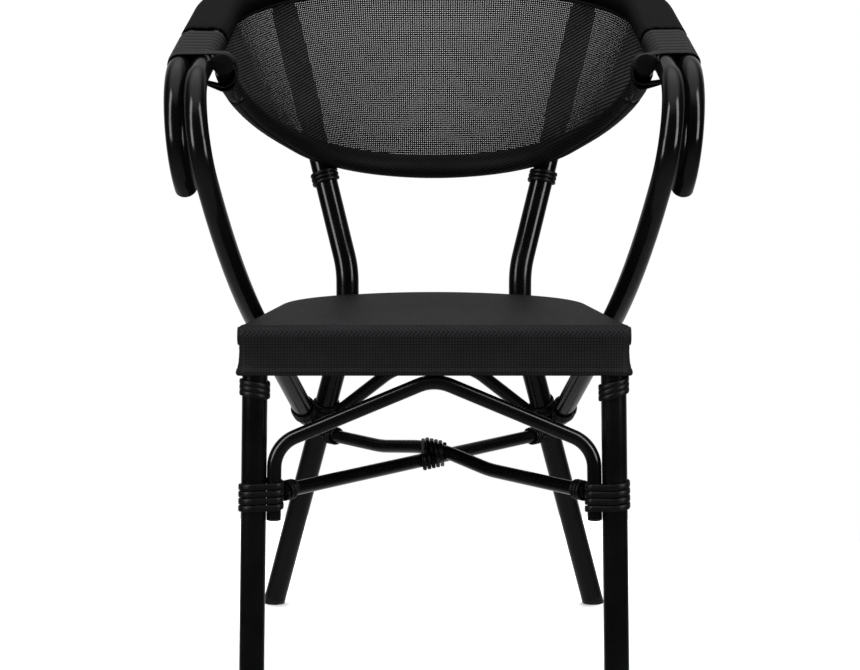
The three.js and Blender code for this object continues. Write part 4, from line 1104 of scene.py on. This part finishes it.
# %% Tubes of cloth
def oval_rim(bm, count, half_run, radius, matrix):
    """An oval of close points, each with its place round the oval."""
    across = bm.verts.layers.float["across"]
    disc = bmesh.ops.create_circle(bm, segments=count, radius=radius)["verts"]
    for v in disc:
        angle = atan2(v.co.y, v.co.x)
        v.co.x += half_run * max(-1, min(1, 3.2 * cos(angle)))
        v[across] = angle * (radius + half_run * 2 / pi)
    bmesh.ops.transform(bm, matrix=matrix, verts=disc)
    return rim_of(disc)


def even_points(points, spacing):
    """The same way with points at most a spacing apart."""
    close = [points[0]]
    for a, b in zip(points, points[1:]):
        count = max(1, ceil((b - a).length / spacing))
        close += [a.lerp(b, k / count) for k in range(1, count + 1)]
    return close


def cloth_tube(stations, start, half_run, radius, count, fold=None):
    """A rim of cloth pushed along close stations, moved in and out by its folds."""
    bm = bmesh.new()
    across, along = cloth_layers(bm)
    length = crook(bm, oval_rim(bm, count, half_run, radius, start), stations, along)
    bmesh.ops.recalc_face_normals(bm, faces=bm.faces)
    bm.normal_update()
    if fold:
        for v in bm.verts:
            v.co += v.normal * fold(v[across], v[along], length)
    lay_cloth(bm, across, along)
    return bm, length


# %% Sleeve
def gathers(across, along, length):
    """Folds of the sleeve: deepest at the bands, gone a hand's width further on."""
    near = min(along, length - along)
    ripples = sin(across * 1.25 + 2.2 * sin(across * 0.21)) + 0.5 * sin(across * 0.63 + 1.4)
    return 0.55 * ripples * exp(-near / 30) - 0.5 * exp(-near / 9)


half_gap, sleeve_start, sleeve_radius = hoop_spacing / 2, 121, 14.9
sleeve_corners = [arm_place(half_gap, sleeve_start, -1), hoop_corner(half_gap, -1),
                  hoop_corner(half_gap, 1), arm_place(half_gap, sleeve_start, 1)]
sleeve_way = even_points(bend_points(sleeve_corners, [hoop_bend + half_gap] * 2), 8.0)
start_heading = heading_at(sleeve_way, 0)
start_turn = Matrix((hoop_normal.cross(start_heading), hoop_normal, start_heading)).transposed().to_4x4()
sleeve_start_frame = Matrix.Translation(sleeve_way[0]) @ start_turn
bm, sleeve_length = cloth_tube(sleeve_way, sleeve_start_frame, half_gap, sleeve_radius, 128, gathers)
sleeve = place_cloth("hoop_sleeve_cloth", bm, sleeve_weave, 0.9, ["top_sleeve"])
print("sleeve", round(sleeve_length), "mm long")

# %% [markdown]
# ## Pockets on the uprights
# Behind the back mesh each upright wears a pocket of ribbed tape, which keeps the mesh off the
# metal. Through the mesh it shows as a dark band with light threads that climb to the right.

# %% Pockets
for word, side in sides:
    pocket_foot = upright_at(rail_at_upright + rail_radius + 30, side)
    pocket_top = upright_at(upright_top.z - 32, side)
    pocket_way = even_points([pocket_foot, pocket_top], 6.0)
    pocket_start = standing(pocket_foot, upright_heading[side])
    bm, pocket_length = cloth_tube(pocket_way, pocket_start, 0.0, leg_radius + 2, 64)
    name = "upright_pocket_" + word
    pocket = place_cloth(name + "_cloth", bm, pocket_tape, 0.9, [name])
print("pockets", round(pocket_length), "mm long")

# %% [markdown]
# ## Back mesh
# The back is a see-through mesh: flat yarns of about 1.9 mm, 2.7 mm apart both ways, so about a
# tenth of it is open. It is stretched from the back rail to the sleeve. Each yarn is one ribbon
# that lies on the stretched surface. The two sets touch at every crossing, one behind the other.
# A see-through picture on a plain sheet would be lighter, but it has no thickness.

# %% Surface of the back
yarn_pitch, yarn_wide, yarn_thick = 2.7, 1.89, 0.25
yarn_behind = yarn_thick / 2
hoop_corners = [arm_place(0, rail_reach, -1), hoop_corner(0, -1), hoop_corner(0, 1),
                arm_place(0, rail_reach, 1)]
hoop_points = bend_points(hoop_corners, [hoop_bend] * 2)


def measured(points):
    """Points with the length of the way up to each."""
    lengths = [0.0]
    for a, b in zip(points, points[1:]):
        lengths.append(lengths[-1] + (b - a).length)
    return points, lengths


def at_share(way, share):
    points, lengths = way
    target = max(0.0, min(1.0, share)) * lengths[-1]
    i = max(1, min(bisect_left(lengths, target), len(points) - 1))
    step = lengths[i] - lengths[i - 1]
    return points[i - 1].lerp(points[i], (target - lengths[i - 1]) / step if step else 0.0)


rail_way, hoop_way = measured(rail_points), measured(hoop_points)
back_width = (rail_way[1][-1] + hoop_way[1][-1]) / 2


def back_place(share, below):
    """A point of the back: a share of the way across, and a distance below the hoop."""
    top, foot = at_share(hoop_way, share), at_share(rail_way, share)
    return top + (foot - top).normalized() * below


def back_depth(share):
    return (at_share(hoop_way, share) - at_share(rail_way, share)).length


def back_normal(share, below):
    across = back_place(share + 0.004, below) - back_place(share - 0.004, below)
    down = back_place(share, below + 1) - back_place(share, below)
    return across.cross(down).normalized()


print("back", round(back_width), "mm across,", round(back_depth(0.5)), "mm from rail to hoop")

# %% Yarns of the back
def ribbon(bm, spots, wide, layers, behind):
    """A flat yarn through spots of the back, given as share and distance below the hoop."""
    grid = bmesh.ops.create_grid(bm, x_segments=len(spots) - 1, y_segments=1, size=1)["verts"]
    grid.sort(key=lambda v: (round(v.co.y), v.co.x))
    places = [back_place(*spot) for spot in spots]
    length = 0.0
    for i, place in enumerate(places):
        normal = back_normal(*spots[i])
        side_on = normal.cross(heading_at(places, i)).normalized()
        length += (place - places[i - 1]).length if i else 0.0
        for row in (0, 1):
            v = grid[row * len(spots) + i]
            v.co = place + side_on * wide * (row - 0.5) + normal * behind
            v[layers[0]], v[layers[1]] = wide * (row - 0.5), length


top_cover, foot_cover = arm_radius + 3.0, rail_radius + 0.4
spread_rows = int((back_depth(0.5) - top_cover - foot_cover) / yarn_pitch)
spread_columns = int(back_width / yarn_pitch)


def row_reach(below):
    """How far from the middle a yarn at this distance below the hoop finds the rail, as a share."""
    near, far = 0.0, 0.5
    for _ in range(14):
        middle = (near + far) / 2
        near, far = (middle, far) if back_depth(0.5 + middle) - foot_cover > below else (near, middle)
    return near


def back_mesh():
    bm = bmesh.new()
    layers = cloth_layers(bm)
    for r in range(spread_rows + 1):
        below = top_cover + yarn_pitch * (r + 0.5)
        reach = min(row_reach(below), 0.46)
        if reach > 0.02:
            count = max(6, ceil(reach * 2 * back_width / 9))
            spots = [(0.5 - reach + 2 * reach * k / count, below) for k in range(count + 1)]
            ribbon(bm, spots, yarn_wide, layers, yarn_behind)
    for c in range(1, spread_columns):
        share = c / spread_columns
        tall = back_depth(share) - foot_cover - top_cover
        if tall > 3 and 0.04 < share < 0.96:
            spots = [(share, top_cover + tall * k / 4) for k in range(5)]
            ribbon(bm, spots, yarn_wide, layers, -yarn_behind)
    lay_cloth(bm, *layers)
    return bm


mesh_piece = place_cloth("back_mesh_cloth", back_mesh(), back_yarn, yarn_thick, ["back_panel"], 0.0)
print("back mesh of", spread_rows, "rows and", spread_columns, "columns")

# %% [markdown]
# ## Hems of the back mesh
# The edge of the mesh is doubled and sewn: one band folds round the back rail and ends a finger's
# width above it, and another runs under the sleeve. Both are dense and nearly black. The band on
# the rail wraps all of it, so the rail shows as a round dark edge under the mesh.

# %% Shapes of the hems
def hem_band(bm, profile_at, count, layers, start=0.012):
    """A band of cloth across the back, from a profile of points at each share of the way."""
    shares = [start + (1 - 2 * start) * k / count for k in range(count + 1)]
    wide = len(profile_at(0.5))
    grid = bmesh.ops.create_grid(bm, x_segments=count, y_segments=wide - 1, size=1)["verts"]
    grid.sort(key=lambda v: (round(v.co.y * 1000), v.co.x))
    for i, share in enumerate(shares):
        length = 0.0
        profile = profile_at(share)
        for row, place in enumerate(profile):
            length += (place - profile[row - 1]).length if row else 0.0
            v = grid[row * (count + 1) + i]
            v.co = place
            v[layers[0]], v[layers[1]] = length, share * back_width


def rail_hem(share, way):
    """Round the front or the rear of the rail, then up the mesh."""
    foot = at_share(rail_way, share)
    normal = back_normal(share, back_depth(share))
    up_mesh = (at_share(hoop_way, share) - foot).normalized()
    front = normal * (-way if normal.y > 0 else way)
    angles = [radians(a) for a in (178, 160, 142, 124, 108, 92, 76, 60, 46)]
    round_rail = [foot + (up_mesh * cos(a) + front * sin(a)) * (rail_radius + 0.9) for a in angles]
    room = min(18.0, back_depth(share) - arm_radius - 4)
    steps = ((11.0, 5.0), (13.0, 2.4), (room - 1, 1.0), (room, 0.7))
    flap = [foot + up_mesh * up + front * out for up, out in steps if up <= room]
    return round_rail + flap + [flap[-1]] * (4 - len(flap))


def hoop_hem(share, way):
    """Down the mesh from under the sleeve."""
    top = at_share(hoop_way, share)
    down = (at_share(rail_way, share) - top).normalized()
    normal = back_normal(share, arm_radius + 8)
    front = normal * (-way if normal.y > 0 else way)
    high = 14.5
    low = min(18.5 + 3 * (2 * share - 1) ** 2, back_depth(share) - rail_radius - 4)
    return [top + down * (high + (low - high) * k / 4) + front * (1.1 if k < 4 else 0.6) for k in range(5)]


# %% Hems
for name, profile_at in (("rail_hem", rail_hem), ("hoop_hem", hoop_hem)):
    for word, way in (("front", 1), ("rear", -1)):
        bm = bmesh.new()
        layers = cloth_layers(bm)
        hem_band(bm, lambda share: profile_at(share, way), 110, layers)
        lay_cloth(bm, *layers)
        place_cloth("back_" + name + "_" + word, bm, hem_weave, 0.5, offset=0.0)

# %% [markdown]
# ## Floor, sky and lights
# The photograph is a cut-out look: white paper below, white behind, and long thin lights on the
# tubes. The floor is a disc of matt paper. The sky is white to the camera and to matt surfaces,
# and mostly dark to gloss, so the black stays black. A wide soft sun lights the matt surfaces
# from above. A high and a low strip stand in front on each side and show in gloss alone.

# %% Floor
floor_mesh = bmesh.new()
bmesh.ops.create_circle(floor_mesh, cap_ends=True, segments=96, radius=0.95)
floor_data = bpy.data.meshes.new("studio_floor")
floor_mesh.to_mesh(floor_data)
floor_mesh.free()
floor_piece = bpy.data.objects.new("studio_floor", floor_data)
bpy.context.scene.collection.objects.link(floor_piece)
floor_finish, _, floor_shader = finish_named("matt_studio_paper", 0.9, 0.1)
floor_shader.inputs["Base Color"].default_value = linear("fdfdfd")
floor_data.materials.append(floor_finish)
floor_piece.visible_glossy = False
floor_piece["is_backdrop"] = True
print("floor of", len(floor_data.polygons), "face")

# %% Sky
world = bpy.data.worlds.new("studio_sky")
bpy.context.scene.world = world
world.use_nodes = True
sky = world.node_tree
heading_seen = add(sky, "ShaderNodeTexCoord").outputs["Generated"]
direction = add(sky, "ShaderNodeSeparateXYZ", inputs={"Vector": heading_seen})


def glow(axis, start, end, dark, bright):
    """Smoothly more light along one axis of the direction, for gloss alone."""
    return add(sky, "ShaderNodeMapRange", {"interpolation_type": "SMOOTHSTEP"}, {
        "Value": direction.outputs[axis], "From Min": start, "From Max": end,
        "To Min": dark, "To Max": bright}).outputs["Result"]


behind = glow("Y", 0.35, 0.95, 0.02, 0.55)
above_and_below = calc(sky, "ADD", glow("Z", 0.6, 1.0, 0.0, 2.5), glow("Z", -0.15, -0.85, 0.0, 0.5))
mirrored = calc(sky, "ADD", behind, above_and_below)
gloss_ray = add(sky, "ShaderNodeLightPath").outputs["Is Glossy Ray"]
chosen = add(sky, "ShaderNodeMix", {"data_type": "FLOAT"}, {"Factor": gloss_ray, 2: 1.0, 3: mirrored})
sky.nodes["Background"].inputs["Color"].default_value = (1, 1, 1, 1)
sky.links.new(chosen.outputs[0], sky.nodes["Background"].inputs["Strength"])
print("sky", world.name)

# %% Lights
def lamp_named(name, kind, watts):
    """A new lamp and the object that holds it."""
    lamp = bpy.data.lights.new(name, kind)
    lamp.energy = watts
    holder = bpy.data.objects.new(name, lamp)
    bpy.context.scene.collection.objects.link(holder)
    return lamp, holder


def softbox(name, place, aim, wide, tall, watts):
    """A long soft light that shows in gloss alone, as a line on the tubes."""
    lamp, holder = lamp_named(name, "AREA", watts)
    lamp.shape = "RECTANGLE"
    lamp.size, lamp.size_y = wide, tall
    holder.location = place
    holder.rotation_euler = (Vector(place) - Vector(aim)).to_track_quat("Z", "Y").to_euler()
    holder.visible_camera, holder.visible_diffuse = False, False


silk, silk_holder = lamp_named("overhead_silk", "SUN", 3.1)
silk.angle = radians(85)
silk_holder.visible_glossy = False
for word, side in sides:
    softbox("high_strip_" + word, (side * 2.6, -1.9, 2.6), (0, 0, 0.6), wide=1.1, tall=2.6, watts=180)
    softbox("low_strip_" + word, (side * 1.8, -1.32, 0.7), (side * 0.28, -0.2, 0.7),
            wide=0.7, tall=0.75, watts=36)
print("lights", [light.name for light in bpy.data.lights])

# %% Sizes of the CAD frame and of the dressed chair
visual_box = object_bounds()
as_numbers = lambda box: json.loads(json.dumps(box, default=list))
{"cad": as_numbers(cad_box), "visual": as_numbers(visual_box)}
print("visual box", visual_box)
